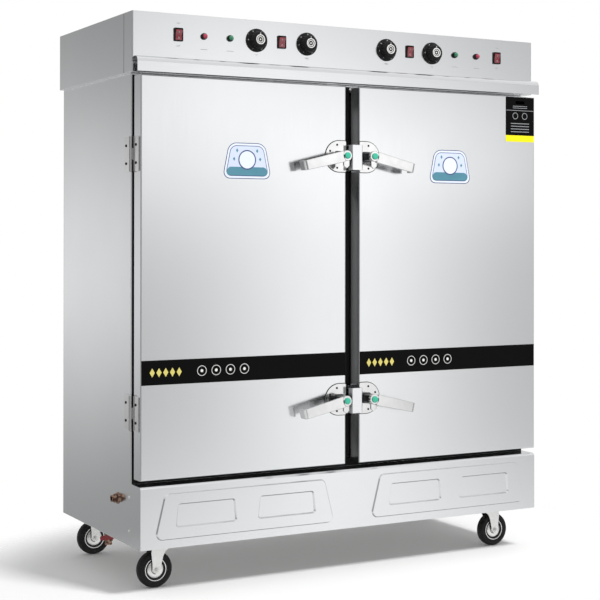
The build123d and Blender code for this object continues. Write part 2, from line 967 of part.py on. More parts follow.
def hinge_leaf(y_low, y_high, z_low, z_high, screw_y):
    """The flat leaf of one hinge with its two screw holes."""
    leaf = block(half_width, half_width + hinge_leaf_wall, y_low, y_high, z_low, z_high)
    leaf = chamfer(leaf.edges().filter_by(Axis.X), hinge_corner)
    return leaf - hinge_holes(screw_y)


def cabinet_hinge_leaf(height):
    """The leaf on the cabinet's right side, with the upper and lower knuckles."""
    low, first, second, high = knuckle_limits(height)
    leaf_low = frame_front + hinge_set_back
    leaf = hinge_leaf(leaf_low, leaf_low + hinge_leaf_reach, low, high, cabinet_screw_y)
    leaf += hinge_knuckle(low, first - face_gap / 2, leaf_low + hinge_leaf_wall)
    leaf += hinge_knuckle(second + face_gap / 2, high, leaf_low + hinge_leaf_wall)
    return leaf - hinge_bore(low - cut_over, high + cut_over)


def hinge_pin(height):
    """The pin of one hinge with a flat head at each end."""
    low, _, _, high = knuckle_limits(height)
    pin = rod((hinge_x, hinge_y, low), (0, 0, 1), hinge_pin_radius, high - low)
    for z in (low - hinge_pin_head, high):
        pin += rod((hinge_x, hinge_y, z), (0, 0, 1), hinge_barrel_radius * 0.75, hinge_pin_head)
    return pin


def door_hinge_leaf(height):
    """The leaf on the right door's side, with the middle knuckle."""
    low, first, second, high = knuckle_limits(height)
    leaf_high = door_back - hinge_set_back
    leaf_low = leaf_high - hinge_door_leaf_reach
    leaf = hinge_leaf(leaf_low, leaf_high, low, high, door_screw_y)
    leaf += hinge_knuckle(first + face_gap / 2, second - face_gap / 2, leaf_high - hinge_leaf_wall)
    return leaf - hinge_bore(low - cut_over, high + cut_over)


def door_hinge_parts():
    """Leaves and screws that ride on the right door."""
    leaves = [door_hinge_leaf(height) for height in hinge_heights]
    seat = half_width + hinge_leaf_wall
    return leaves + [screw(seat, door_screw_y, z, screw_length) for z in hinge_screw_places()]


def cabinet_hinge_parts():
    """Leaves and pins fixed to the cabinet's right side."""
    leaves = [cabinet_hinge_leaf(height) for height in hinge_heights]
    return leaves + [hinge_pin(height) for height in hinge_heights]


def cabinet_screws():
    """Screws of the right side: hinge leaves and base panel."""
    seat = half_width + hinge_leaf_wall
    pieces = [screw(seat, cabinet_screw_y, z, screw_length) for z in hinge_screw_places()]
    pieces += [screw(half_width, base_screw_y, z, screw_length) for z in base_screw_places]
    return pieces


# Latches

def latch_base(height):
    """The right door's latch plate with its boss and pivot pin, and the screws on it."""
    z = body_bottom + height
    plate_shape = Pos(latch_x, z) * Circle(latch_plate_radius)
    plate_shape &= Pos(latch_x + latch_plate_radius / 2, z) * Rectangle(
        latch_plate_radius, 2 * latch_plate_radius
    )
    inner_half = Pos((door_inner_x + latch_x) / 2, z) * Rectangle(
        latch_inset, 2 * latch_plate_radius
    )
    face = door_front - latch_plate_wall
    plate = along_y(plate_shape + inner_half, face, door_front)
    plate = fillet(plate.edges().filter_by(Axis.Y).group_by(Axis.X)[0], latch_plate_corner)
    half = latch_boss_width / 2
    boss_face = face - latch_boss_length
    boss = block(latch_x - half, latch_x + half, boss_face, face, z - half, z + half)
    boss = fillet(boss.edges().filter_by(Axis.Y), latch_boss_corner)
    pin = rod(
        (latch_x, boss_face, z), (0, -1, 0), latch_pin_radius, lever_hub_length + 2 * face_gap
    )
    cap = rod(
        (latch_x, lever_front - face_gap, z), (0, -1, 0), latch_cap_radius, latch_cap_height
    )
    cap = fillet(cap.edges().group_by(Axis.Y)[0], latch_cap_height * 0.4)
    solid = plate + boss + pin + cap
    heads = []
    head_height = screw_head_height / 2
    for turn in latch_screw_turns:
        angle = radians(turn)
        spot = (
            latch_x + latch_screw_radius * cos(angle), face, z + latch_screw_radius * sin(angle)
        )
        head = rod(spot, (0, -1, 0), screw_head_radius, head_height)
        heads.append(fillet(head.edges().group_by(Axis.Y)[0], head_height * 0.6))
    return [solid, *heads]


def latch_lever(height):
    """The right lever: hub, drooping arm with a lip bent back, and a nose below the hub."""
    hub = rod((0, lever_back, 0), (0, -1, 0), lever_hub_radius, lever_hub_length)
    arm_back = lever_front + lever_wall
    straight = lever_length - lever_lip_bend
    arm = make_face(Polyline(
        (0, -lever_width_foot / 2), (straight, -lever_width_end / 2),
        (straight, lever_width_end / 2), (0, lever_width_foot / 2), close=True,
    ))
    arm = along_y(arm, lever_front, arm_back)
    lip_path = [
        (straight - lever_wall / 2, lever_front),
        (lever_length, lever_front),
        (lever_length, lever_front + lever_lip),
    ]
    lip = make_face(offset(
        FilletPolyline(*lip_path, radius=lever_lip_bend), lever_wall, side=Side.LEFT
    ).edges())
    lip = along_z(lip, -lever_width_end / 2, lever_width_end / 2)
    lever = Rot(0, lever_droop, 0) * (arm + lip) + hub
    nose_half = lever_nose_width / 2
    nose = make_face(Polyline(
        (-nose_half, 0), (-nose_half, -lever_nose + lever_nose_corner),
        (-nose_half + lever_nose_corner, -lever_nose),
        (nose_half, -lever_nose + lever_nose_corner), (nose_half, 0), close=True,
    ))
    lever += along_y(nose, arm_back, lever_back)
    lever -= rod((0, lever_back, 0), (0, -1, 0), latch_pin_radius + running_fit, lever_hub_length)
    return Pos(latch_x, 0, body_bottom + height) * lever


def latch_keeper(height):
    """A folded keeper on the mullion that stands out between the doors."""
    z = body_bottom + height - keeper_drop
    front = door_front - keeper_reach
    half = keeper_width / 2
    shell = block(-half, half, front, frame_front, z - keeper_height / 2, z + keeper_height / 2)
    shell = fillet(shell.edges().filter_by(Axis.Z).group_by(Axis.Y)[0], keeper_wall)
    hollow = block(
        -half + keeper_wall, half - keeper_wall,
        front + keeper_wall, frame_front - keeper_wall,
        z - keeper_height / 2, z + keeper_height / 2,
    )
    return shell - hollow


# Water fittings

def water_inlet():
    """A brass inlet fitting in the left side panel, with a hexagon and a nipple."""
    x = -half_width
    y = body_front + inlet_set_back
    z = body_bottom + inlet_height
    plane = Plane(origin=(x, y, z), z_dir=(-1, 0, 0))
    fitting = extrude(plane * RegularPolygon(inlet_flange / 2, 6), inlet_flange_wall)
    fitting = chamfer(fitting.edges().group_by(Axis.X)[0], sheet)
    collar_start = x - inlet_flange_wall
    fitting += rod((collar_start, y, z), (-1, 0, 0), inlet_collar_radius, inlet_collar_length)
    nipple_start = collar_start - inlet_collar_length
    fitting += rod((nipple_start, y, z), (-1, 0, 0), inlet_nipple_radius, inlet_nipple_length)
    inside = x + sheet
    fitting += rod((x, y, z), (1, 0, 0), inlet_nipple_radius, inlet_tail)
    fitting += rod((inside, y, z), (1, 0, 0), inlet_collar_radius, inlet_nut)
    end = nipple_start - inlet_nipple_length
    bore_length = inside + inlet_tail - end
    return fitting - rod((end, y, z), (1, 0, 0), inlet_bore_radius, bore_length)


def drain_hole():
    """The hole that the drain pipe needs on its way up to the left tank."""
    start = (drain_x(), drain_y(), body_bottom - cut_over)
    length = tank_floor - body_bottom + 2 * cut_over
    return rod(start, (0, 0, 1), drain_radius + screw_fit, length)


def drain_x():
    """Where the drain pipe comes down, on the left."""
    return -half_width + drain_side_inset + drain_run + drain_bend


def drain_y():
    """How far back the drain lies."""
    return body_front + drain_set_back


def drain_valve():
    """A pipe from the left tank, a bend and a quarter-turn valve body with its outlet down."""
    y = drain_y()
    z = body_bottom - drain_drop
    top = (drain_x(), y, tank_floor)
    bend_top = (drain_x(), y, z + drain_bend)
    bend_end = (drain_x() - drain_bend, y, z)
    valve_x = -half_width + drain_side_inset
    path = Polyline(top, bend_top)
    path += RadiusArc(bend_top, bend_end, drain_bend)
    path += Polyline(bend_end, (valve_x, y, z))
    pipe = sweep(Plane(origin=top, z_dir=(0, 0, -1)) * Circle(drain_radius), path=path)
    body = rod((valve_x, y, z + valve_length / 2), (0, 0, -1), valve_radius, valve_length)
    outlet = rod((valve_x, y, z - valve_length / 2), (0, 0, -1), drain_radius, valve_outlet)
    outlet -= rod((valve_x, y, z - valve_length / 2), (0, 0, -1), valve_bore_radius, valve_outlet)
    stem = rod((valve_x, y, z), (0, -1, 0), valve_stem_radius, valve_radius + valve_stem_length)
    return pipe + body + outlet + stem


def drain_handle():
    """The red lever of the drain valve, on the stem in front of the valve body."""
    y = drain_y()
    z = body_bottom - drain_drop
    x = -half_width + drain_side_inset
    stem_end = y - valve_radius - valve_stem_length
    front = stem_end - valve_hub_seat
    hub = rod((x, front, z), (0, 1, 0), valve_hub_radius, valve_hub_length)
    arm = block(
        x - valve_lever_length, x, front, front + valve_lever_wall,
        z - valve_lever_width / 2, z + valve_lever_width / 2,
    )
    tip_edges = arm.edges().filter_by(Axis.Y).group_by(Axis.X)[0]
    arm = fillet(tip_edges, valve_lever_width * 0.45)
    bore = rod((x, stem_end, z), (0, 1, 0), valve_stem_radius + running_fit, valve_hub_length)
    return hub + arm - bore


# Casters

def caster_places():
    """Name, side, kingpin place and trail direction of each caster."""
    x = half_width - caster_side_inset
    front = body_front + caster_end_inset
    back = body_back - caster_end_inset
    return [
        ("front_left", -x, front, -1),
        ("front_right", x, front, 1),
        ("back_left", -x, back, -1),
        ("back_right", x, back, 1),
    ]


def caster_plate():
    """Top plate, upper race, kingpin and its nut, with the kingpin on the origin."""
    top = caster_height
    shape = RectangleRounded(caster_plate_length, caster_plate_width, caster_plate_corner)
    plate = along_z(shape, top - caster_plate_wall, top)
    bolt_x = caster_plate_length / 2 - caster_bolt_inset
    bolt_y = caster_plate_width / 2 - caster_bolt_inset
    for x in (-bolt_x, bolt_x):
        for y in (-bolt_y, bolt_y):
            plate -= rod((x, y, top), (0, 0, -1), caster_bolt_radius, caster_plate_wall)
    race_low = top - caster_plate_wall - race_height
    plate += rod((0, 0, race_low), (0, 0, 1), race_radius, race_height)
    nut_top = crown_low() - face_gap
    plate += rod((0, 0, nut_top), (0, 0, 1), kingpin_radius, race_low - nut_top)
    hexagon = Plane.XY.offset(nut_top - kingpin_nut_height) * RegularPolygon(kingpin_nut_radius, 6)
    return plate + extrude(hexagon, kingpin_nut_height)


def crown_low():
    """Underside of the fork's crown."""
    return caster_height - caster_plate_wall - 2 * race_height - face_gap - fork_crown


def fork_outline():
    """The fork's side view in X and Z, with its axle to the right of the kingpin."""
    top = crown_low() + fork_crown
    hub_x = caster_trail
    side = Polyline((-race_radius, top), (fork_reach, top))
    outer = Spline(
        (fork_reach, top),
        (fork_reach + race_height, top - fork_end_radius),
        (hub_x + fork_end_radius, axle_z),
        tangents=((0.3, -1), (-0.2, -1)),
    )
    end = ThreePointArc(
        (hub_x + fork_end_radius, axle_z), (hub_x, axle_z - fork_end_radius),
        (hub_x - fork_end_radius, axle_z),
    )
    inner = Spline(
        (hub_x - fork_end_radius, axle_z),
        (hub_x - 2 * fork_end_radius, axle_z + rim_radius),
        (-race_radius, top),
        tangents=((-0.1, 1), (-1, 0.35)),
    )
    return make_face(side.edges() + outer.edges() + end.edges() + inner.edges())


def caster_fork():
    """Fork with its lower race, and the axle bolt through its two legs."""
    inside = wheel_width / 2 + wheel_side_gap
    outside = inside + fork_wall
    fork = along_y(fork_outline(), -outside, outside)
    fork -= block(-wheel_radius, 2 * wheel_radius, -inside, inside, 0, crown_low())
    race_low = crown_low() + fork_crown
    fork += rod((0, 0, race_low), (0, 0, 1), race_radius - 2, race_height)
    fork -= rod((0, 0, 0), (0, 0, 1), kingpin_radius + running_fit, caster_height)
    fork -= rod((caster_trail, -outside, axle_z), (0, 1, 0), axle_radius + running_fit, 2 * outside)
    bolt = rod((caster_trail, -outside, axle_z), (0, 1, 0), axle_radius, 2 * outside)
    for y, direction in ((-outside, -1), (outside, 1)):
        plane = Plane(origin=(caster_trail, y, axle_z), z_dir=(0, direction, 0))
        bolt += extrude(plane * RegularPolygon(axle_head_radius, 6), axle_head_height)
    return [fork, bolt]


def wheel_rim():
    """The pressed zinc rim, turned about the axle."""
    half = wheel_width / 2
    hub_half = half + wheel_side_gap - face_gap
    bore = axle_radius + running_fit
    cover = half - rim_cover_depth
    well = half - rim_well_depth
    upper = [
        (bore, hub_half), (rim_hub_radius, hub_half), (rim_hub_radius, cover),
        (rim_cover_radius - rim_cover_slope, cover), (rim_cover_radius, cover - rim_edge),
        (rim_cover_radius, well), (rim_radius - rim_wall, well),
        (rim_radius - rim_wall, half - rim_edge), (rim_radius, half - rim_edge),
    ]
    lower = [(r, -y) for r, y in reversed(upper)]
    section = make_face(Polyline(*upper, *lower, close=True))
    turned = revolve(Plane.XY * section, Axis.Y)
    return Pos(caster_trail, 0, axle_z) * turned


def wheel_tyre():
    """The rubber tyre with round shoulders."""
    seat = rim_radius + tyre_seat
    section = Pos((seat + wheel_radius) / 2, 0) * Rectangle(wheel_radius - seat, wheel_width)
    section = fillet(section.vertices().group_by(Axis.X)[-1], tyre_shoulder)
    turned = revolve(Plane.XY * section, Axis.Y)
    return Pos(caster_trail, 0, axle_z) * turned


def at_caster(shape, x, y, trail_side):
    """A caster piece moved to its kingpin, with its trail to the given side."""
    turned = shape if trail_side > 0 else mirror(shape, about=Plane.YZ)
    return Pos(x, y, 0) * turned


def save_body():
    """Write the fixed pieces of the cabinet."""
    panel, inlet_hole = side_panel()
    save("side_panel_right", panel)
    save("side_panel_left", other_side(panel - inlet_hole))
    save("back_roof_panel", back_roof_panel())
    save("face_frame", face_frame())
    liner = chamber_liner()
    save("chamber_liner_right", liner)
    save("chamber_liner_left", other_side(liner) - drain_hole())
    save("insulation_foam", insulation())
    save("chassis_frame", chassis_frame())
    save("base_panel", base_panel())
    rack = tray_rack()
    save("tray_racks", *rack, *[other_side(piece) for piece in rack])
    elements = heaters()
    save("heating_elements", *elements, *[other_side(piece) for piece in elements])
    save("splash_plates", *both_sides(splash_plate()))
    screws = cabinet_screws()
    save("cabinet_screws", *screws, *[other_side(piece) for piece in screws])
    leaves = cabinet_hinge_parts()
    save("hinge_cabinet_leaves", *leaves, *[other_side(piece) for piece in leaves])
    save("latch_keepers", *[latch_keeper(height) for height in latch_heights])
    save("water_inlet", water_inlet())
    save("drain_valve", drain_valve())
    save("drain_handle", drain_handle())


def save_head():
    """Write the head, its controls and their knobs."""
    save("head_cover", head_cover())
    save("control_panel", control_panel())
    save("visor", visor())
    housings = [piece for x in switch_xs for piece in both_sides(switch_housing(x))]
    bezels = [piece for x in (red_lamp_x, green_lamp_x) for piece in both_sides(lamp_bezel(x))]
    save("panel_bezels", *housings, *bezels)
    save("lamp_lenses_red", *both_sides(lamp_lens(red_lamp_x)))
    save("lamp_lenses_green", *both_sides(lamp_lens(green_lamp_x)))
    dials = [piece for x in knob_xs for piece in both_sides(dial_mechanism(x))]
    save("dial_mechanisms", *dials)
    places = (("outer", outer_knob_x, outer_switch_x), ("inner", inner_knob_x, inner_switch_x))
    for place, knob_x, switch_x in places:
        for side_name, side in sides.items():
            save(f"knob_{place}_{side_name}", knob(side * knob_x))
            save(f"rocker_{place}_{side_name}", rocker(side * switch_x))


def save_doors():
    """Write the pieces of both doors and their latches."""
    shell = door_shell()
    inner = door_inner()
    gasket = door_gasket()
    leaves = door_hinge_parts()
    for side_name, side in sides.items():
        save(f"door_shell_{side_name}", on_side(shell, side))
        save(f"door_inner_{side_name}", on_side(inner, side))
        save(f"door_gasket_{side_name}", on_side(gasket, side))
        save(f"hinge_door_leaves_{side_name}", *[on_side(piece, side) for piece in leaves])
        bases = [piece for height in latch_heights for piece in latch_base(height)]
        save(f"latch_bases_{side_name}", *[on_side(piece, side) for piece in bases])
        for level, height in zip(("upper", "lower"), latch_heights):
            save(f"latch_lever_{level}_{side_name}", on_side(latch_lever(height), side))


def save_casters():
    """Write the four casters."""
    plate = caster_plate()
    fork = caster_fork()
    rim = wheel_rim()
    tyre = wheel_tyre()
    places = caster_places()
    save("caster_plates", *[at_caster(plate, x, y, trail) for _, x, y, trail in places])
    for name, x, y, trail in places:
        save(f"caster_fork_{name}", *[at_caster(piece, x, y, trail) for piece in fork])
        save(f"caster_rim_{name}", at_caster(rim, x, y, trail))
        save(f"caster_tyre_{name}", at_caster(tyre, x, y, trail))


os.makedirs("parts", exist_ok=True)
save_body()
save_head()
save_doors()
save_casters()
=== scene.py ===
"""A two-door rice steamer cabinet on casters, dressed for a plain studio picture.

Sizes inside the classes are in millimetres, in the cabinet's own frame: X to the
viewer's right, Y from front to back, Z up. They become metres when a piece is made.
"""

import logging
import math
from dataclasses import dataclass, replace
from enum import Enum
from typing import Callable, ClassVar, Iterable, Sequence

import bmesh
import bpy
from mathutils import Matrix, Vector


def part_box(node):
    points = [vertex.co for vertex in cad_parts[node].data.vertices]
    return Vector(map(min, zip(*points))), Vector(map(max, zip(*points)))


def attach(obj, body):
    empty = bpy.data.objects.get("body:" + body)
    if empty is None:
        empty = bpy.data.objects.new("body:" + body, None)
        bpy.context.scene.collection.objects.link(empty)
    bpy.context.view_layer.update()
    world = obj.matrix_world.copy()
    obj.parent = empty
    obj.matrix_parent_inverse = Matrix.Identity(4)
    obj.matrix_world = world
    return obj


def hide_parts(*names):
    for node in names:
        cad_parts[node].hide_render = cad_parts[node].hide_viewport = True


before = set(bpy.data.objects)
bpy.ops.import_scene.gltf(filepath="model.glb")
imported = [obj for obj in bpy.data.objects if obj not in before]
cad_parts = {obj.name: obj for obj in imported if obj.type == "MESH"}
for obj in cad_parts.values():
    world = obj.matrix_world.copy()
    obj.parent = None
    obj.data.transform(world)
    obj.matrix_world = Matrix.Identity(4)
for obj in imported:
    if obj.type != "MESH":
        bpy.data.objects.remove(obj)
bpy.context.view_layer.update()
MM = 0.001
LOG = logging.getLogger("steamer")
# Points closer than this, in millimetres, are one point.
WELD = 0.001
TOWARDS_VIEWER = Matrix.Rotation(math.radians(90), 4, "X")
MIRRORED = Matrix.Scale(-1, 4, (1, 0, 0))
Mesh = bmesh.types.BMesh
Point = tuple[float, float]


class Side(Enum):
    """The two halves of the cabinet, as the viewer sees them."""

    LEFT = -1
    RIGHT = 1

    @property
    def word(self) -> str:
        """The side as it stands in the names of nodes and bodies."""
        return self.name.lower()


class Grain(Enum):
    """The direction in which a sheet was brushed."""

    ACROSS = (1.0, 0.0, 0.0)
    UPRIGHT = (0.0, 0.0, 1.0)


# Materials


def linear(code: str) -> tuple[float, float, float, float]:
    """Turn an sRGB hex colour into a linear one.

    Args:
        code: The colour as "#rrggbb".

    Returns:
        Linear red, green and blue with an alpha of 1.
    """
    parts = [int(code[i:i + 2], 16) / 255 for i in (1, 3, 5)]
    red, green, blue = [
        part / 12.92 if part <= 0.04045 else ((part + 0.055) / 1.055) ** 2.4 for part in parts
    ]
    return red, green, blue, 1.0


def add_node(
    tree: bpy.types.NodeTree,
    kind: str,
    settings: dict[str | int, object] | None = None,
    links: dict[str | int, bpy.types.NodeSocket] | None = None,
) -> bpy.types.Node:
    """Add one node with its settings and its links.

    Args:
        tree: The tree that gets the node.
        kind: The node's type name.
        settings: Attributes by name, and values of sockets by name or number.
        links: Sockets of other nodes that feed this node's inputs.

    Returns:
        The new node.
    """
    node = tree.nodes.new(kind)
    for key, value in (settings or {}).items():
        if isinstance(key, int) or key in node.inputs:
            node.inputs[key].default_value = value
        else:
            setattr(node, key, value)
    for key, socket in (links or {}).items():
        tree.links.new(socket, node.inputs[key])
    return node


@dataclass(frozen=True)
class Finish:
    """A material as it is made, with a cloudy variation of its colour and roughness."""

    name: str
    colour: str
    second: str
    roughness: float
    metallic: float = 0.0
    spread: float = 0.06
    cloud_mm: float = 90.0
    grain_mm: float = 1.0
    stretch: tuple[float, float, float] = (1.0, 1.0, 1.0)
    bump_mm: float = 0.02
    grain_roughness: float = 0.05
    edge_mm: float = 0.0
    sockets: tuple[tuple[str, float], ...] = ()

    def material(self) -> bpy.types.Material:
        """The Blender material of this finish, built once."""
        made = bpy.data.materials.get(self.name)
        return made or self.build()

    def build(self) -> bpy.types.Material:
        """Build the node tree.

        Returns:
            The new material.
        """
        made = bpy.data.materials.new(self.name)
        made.use_nodes = True
        made.diffuse_color = linear(self.colour)
        tree = made.node_tree
        shader = tree.nodes["Principled BSDF"]
        shader.inputs["Metallic"].default_value = self.metallic
        for name, value in self.sockets:
            shader.inputs[name].default_value = value
        place = add_node(tree, "ShaderNodeTexCoord").outputs["Object"]
        cloud = add_node(
            tree, "ShaderNodeTexNoise", {"Scale": 1 / (self.cloud_mm * MM), "Detail": 3.0},
            {"Vector": place},
        ).outputs["Fac"]
        colour = add_node(
            tree, "ShaderNodeMix",
            {"data_type": "RGBA", 6: linear(self.colour), 7: linear(self.second)},
            {0: self.colour_share(tree, cloud)},
        ).outputs[2]
        tree.links.new(colour, shader.inputs["Base Color"])
        grain = self.grain(tree, place)
        spread = add_node(
            tree, "ShaderNodeMapRange",
            {"To Min": self.roughness - self.spread, "To Max": self.roughness + self.spread},
            {"Value": cloud},
        ).outputs["Result"]
        rough = add_node(
            tree, "ShaderNodeMath",
            {"operation": "MULTIPLY_ADD", "use_clamp": True, 1: self.grain_roughness},
            {0: grain, 2: spread},
        ).outputs["Value"]
        tree.links.new(rough, shader.inputs["Roughness"])
        bump = add_node(
            tree, "ShaderNodeBump", {"Strength": 1.0, "Distance": self.bump_mm * MM},
            {"Height": grain},
        )
        if self.edge_mm:
            soft = add_node(tree, "ShaderNodeBevel", {"samples": 4, "Radius": self.edge_mm * MM})
            tree.links.new(soft.outputs["Normal"], bump.inputs["Normal"])
        tree.links.new(bump.outputs["Normal"], shader.inputs["Normal"])
        return made

    def colour_share(
        self, tree: bpy.types.NodeTree, cloud: bpy.types.NodeSocket
    ) -> bpy.types.NodeSocket:
        """How much of the second colour shows: here the cloud itself."""
        return cloud

    def grain(
        self, tree: bpy.types.NodeTree, place: bpy.types.NodeSocket
    ) -> bpy.types.NodeSocket:
        """The surface's fine grain, as noise that is stretched along the brushing.

        Args:
            tree: The material's tree.
            place: Object coordinates.

        Returns:
            A socket with the height of the grain from 0 to 1.
        """
        scale = tuple(1 / (self.grain_mm * longer * MM) for longer in self.stretch)
        stretched = add_node(
            tree, "ShaderNodeMapping", {"vector_type": "POINT", "Scale": scale}, {"Vector": place}
        ).outputs["Vector"]
        return add_node(
            tree, "ShaderNodeTexNoise", {"Scale": 1.0, "Detail": 2.0, "Roughness": 0.6},
            {"Vector": stretched},
        ).outputs["Fac"]


@dataclass(frozen=True)
class Tarnished(Finish):
    """A finish whose second colour gathers in blotches, as tarnish, dust or heat tint does."""

    low: float = 0.45
    high: float = 0.65

    def colour_share(
        self, tree: bpy.types.NodeTree, cloud: bpy.types.NodeSocket
    ) -> bpy.types.NodeSocket:
        """How much of the second colour shows: the cloud's peaks only.

        Args:
            tree: The material's tree.
            cloud: The cloudy noise, from 0 to 1.

        Returns:
            A socket with the second colour's share, from 0 to 1.
        """
        return add_node(
            tree, "ShaderNodeMapRange",
            {"interpolation_type": "SMOOTHSTEP", "From Min": self.low, "From Max": self.high},
            {"Value": cloud},
        ).outputs["Result"]


def brushed_sheet(grain: Grain, edge_mm: float = 1.4) -> Finish:
    """Stainless 304 sheet with a fine belt-brushed grain.

    The belt leaves lines some 0.1 mm apart and 70 mm long. They are drawn 1.4 mm
    apart, or they would vanish in the picture.

    Args:
        grain: The direction of the lines.
        edge_mm: How far the sheet's folds are rounded.

    Returns:
        The finish for sheets brushed that way.
    """
    length, apart = 70.0, 1.4
    stretch = tuple(length / apart if part else 1.0 for part in grain.value)
    return Finish(
        f"stainless_304_belt_brushed_{grain.name.lower()}_{edge_mm:g}", "#e4e5e6", "#dee0e2",
        0.15, metallic=1.0, spread=0.02, cloud_mm=420.0, grain_mm=apart, stretch=stretch,
        bump_mm=0.0015, edge_mm=edge_mm,
    )


# Mill-rolled sheet is smoother than brushed sheet and a little duller.
MILL_SHEET = Finish(
    "stainless_304_mill_rolled", "#d2d4d6", "#c4c7ca", 0.3, metallic=1.0, cloud_mm=160.0,
    grain_mm=3.0, bump_mm=0.01, edge_mm=1.0,
)
# Buffed castings mirror what is round them, with faint waves left by the wheel.
BUFFED_CASTING = Finish(
    "stainless_casting_buffed", "#d9d9d9", "#d0d0d0", 0.1, metallic=1.0, spread=0.03,
    cloud_mm=30.0, grain_mm=14.0, edge_mm=0.4,
)
# Die-cast zinc is darker than steel, with a grey oxide skin.
DIE_CAST_ZINC = Finish(
    "zinc_die_cast_grey", "#6f7072", "#58595b", 0.3, metallic=1.0, cloud_mm=12.0,
    grain_mm=1.2, edge_mm=0.6,
)
# Zinc plate is bright but uneven, with a faint blue and straw tint from its passivation.
ZINC_PLATE = Finish(
    "steel_bright_zinc_plated", "#e6e8ea", "#dcdbd5", 0.2, metallic=1.0, cloud_mm=22.0,
    grain_mm=0.9, bump_mm=0.01, grain_roughness=0.1, edge_mm=0.8,
)
# The sheath comes annealed, so it is dark, and it is blued where it has run hot.
HEATER_SHEATH = Tarnished(
    "nickel_alloy_sheath_annealed", "#6d6a66", "#4a5468", 0.45, metallic=1.0, cloud_mm=60.0,
    grain_mm=1.5, bump_mm=0.03,
)
# Poured foam yellows and has a skin of small cells.
POURED_FOAM = Finish(
    "polyurethane_foam_poured", "#e3cf9a", "#cdb277", 0.85, cloud_mm=45.0, grain_mm=2.5,
    bump_mm=0.5,
)
# Cast and turned brass darkens to brown away from the worn faces.
CAST_BRASS = Tarnished(
    "brass_cast_and_turned", "#b89884", "#574038", 0.32, metallic=1.0, cloud_mm=9.0,
    grain_mm=0.6, bump_mm=0.03, grain_roughness=0.15, edge_mm=0.5, low=0.38, high=0.6,
)
# Blackened screws keep a dark satin skin of oxide. The same finish lies on the floors of the caster
# grooves as painted shade.
BLACK_OXIDE_AND_SHADE = Finish(
    "steel_black_oxide", "#2b2b2e", "#3a3a3d", 0.34, metallic=1.0, cloud_mm=4.0,
    grain_mm=0.4, bump_mm=0.01,
)
# The dipped vinyl sleeve is thick and glossy, with sags.
DIPPED_VINYL = Finish(
    "vinyl_dipped_red", "#a3121f", "#8a0d18", 0.3, cloud_mm=12.0, grain_mm=5.0, bump_mm=0.12,
    edge_mm=1.0, sockets=(("Coat Weight", 0.4), ("Coat Roughness", 0.12)),
)
# Phenolic and ABS mouldings have a spark-eroded skin that greys their highlights.
MOULDED_BLACK = Finish(
    "phenolic_moulded_black", "#0b0b0c", "#111113", 0.33, cloud_mm=14.0, grain_mm=0.5,
    bump_mm=0.03, grain_roughness=0.15, edge_mm=0.5, sockets=(("Specular IOR Level", 0.25),),
)
# The keys are clear red polycarbonate, deep in colour with a sharp gloss.
RED_KEY = Finish(
    "polycarbonate_clear_red", "#861226", "#640c1a", 0.14, spread=0.02, cloud_mm=8.0,
    grain_mm=4.0, sockets=(("IOR", 1.585), ("Coat Weight", 0.6), ("Subsurface Weight", 0.25)),
)
# The lenses are thinner polycarbonate over a pale reflector, so they look brighter.
RED_LENS = Finish(
    "polycarbonate_lens_red", "#b31f4a", "#8d1238", 0.1, spread=0.02, cloud_mm=6.0,
    grain_mm=1.2, bump_mm=0.05,
    sockets=(("IOR", 1.585), ("Coat Weight", 0.8), ("Subsurface Weight", 0.3)),
)
GREEN_LENS = replace(
    RED_LENS, name="polycarbonate_lens_green", colour="#0d8a58", second="#066341"
)
# The caps are moulded nylon in a cool green.
TEAL_CAP = Finish(
    "nylon_moulded_teal", "#3fbf9f", "#35ad90", 0.32, cloud_mm=7.0, grain_mm=0.7,
    sockets=(("Coat Weight", 0.3),),
)
# Extruded silicone has a soft sheen, and the black strips pick up flour dust.
# Besides the door gaskets, this black makes the frame strips, partly painted shade in the gaps
# round the doors, and the latch seals, whose rims paint the shadow line round each plate.
BLACK_SILICONE_AND_SHADE = Tarnished(
    "silicone_extruded_black", "#111213", "#1c1d1e", 0.5, cloud_mm=35.0, bump_mm=0.05,
    sockets=(("Specular IOR Level", 0.25),),
)
# The middle seal's web is a grey grade and its lips a slate one, toned as painted shade in the gap
# between the doors; the grey also beads the head's seams as their painted shadow line.
SHADE_GREY_SILICONE = Finish(
    "silicone_extruded_grey", "#7c7c7c", "#747474", 0.45, cloud_mm=50.0, bump_mm=0.03,
    sockets=(("Specular IOR Level", 0.25),),
)
SHADE_SLATE_SILICONE = replace(
    SHADE_GREY_SILICONE, name="silicone_extruded_slate", colour="#353334", second="#2c2b2c"
)
# Solid rubber tyres are matt, with grey dust pressed into the tread.
TYRE_RUBBER = Tarnished(
    "rubber_solid_tyre", "#101010", "#2a2826", 0.6, cloud_mm=16.0, grain_mm=0.8, bump_mm=0.09,
    low=0.52, high=0.75, sockets=(("Specular IOR Level", 0.3),),
)
# The rings in the knobs are moulded in white and pressed in.
WHITE_MOULDING = Finish(
    "abs_moulded_white", "#ececea", "#e2e2df", 0.3, cloud_mm=8.0, grain_mm=0.4, bump_mm=0.01,
)
# Screen-printed ink lies thin and matt on what carries it.
WHITE_INK = Finish(
    "ink_screen_printed_white", "#e9e9e6", "#dddddb", 0.5, cloud_mm=3.0, grain_mm=0.3,
    bump_mm=0.01,
)
GREY_INK = replace(
    WHITE_INK, name="ink_screen_printed_grey", colour="#8d9092", second="#9b9ea0"
)


def printed_film(name: str, colour: str, second: str, shine: float = 0.25) -> Finish:
    """Self-adhesive vinyl film with a gloss laminate, printed in one colour.

    Args:
        name: What the colour is called.
        colour: The print's colour.
        second: The colour where the print is thinner.
        shine: How strongly the laminate mirrors, as the shader's specular level.

    Returns:
        The finish of that film.
    """
    return Finish(
        f"vinyl_film_{name}", colour, second, 0.22, spread=0.03, cloud_mm=40.0, grain_mm=6.0,
        sockets=(("Specular IOR Level", shine),),
    )


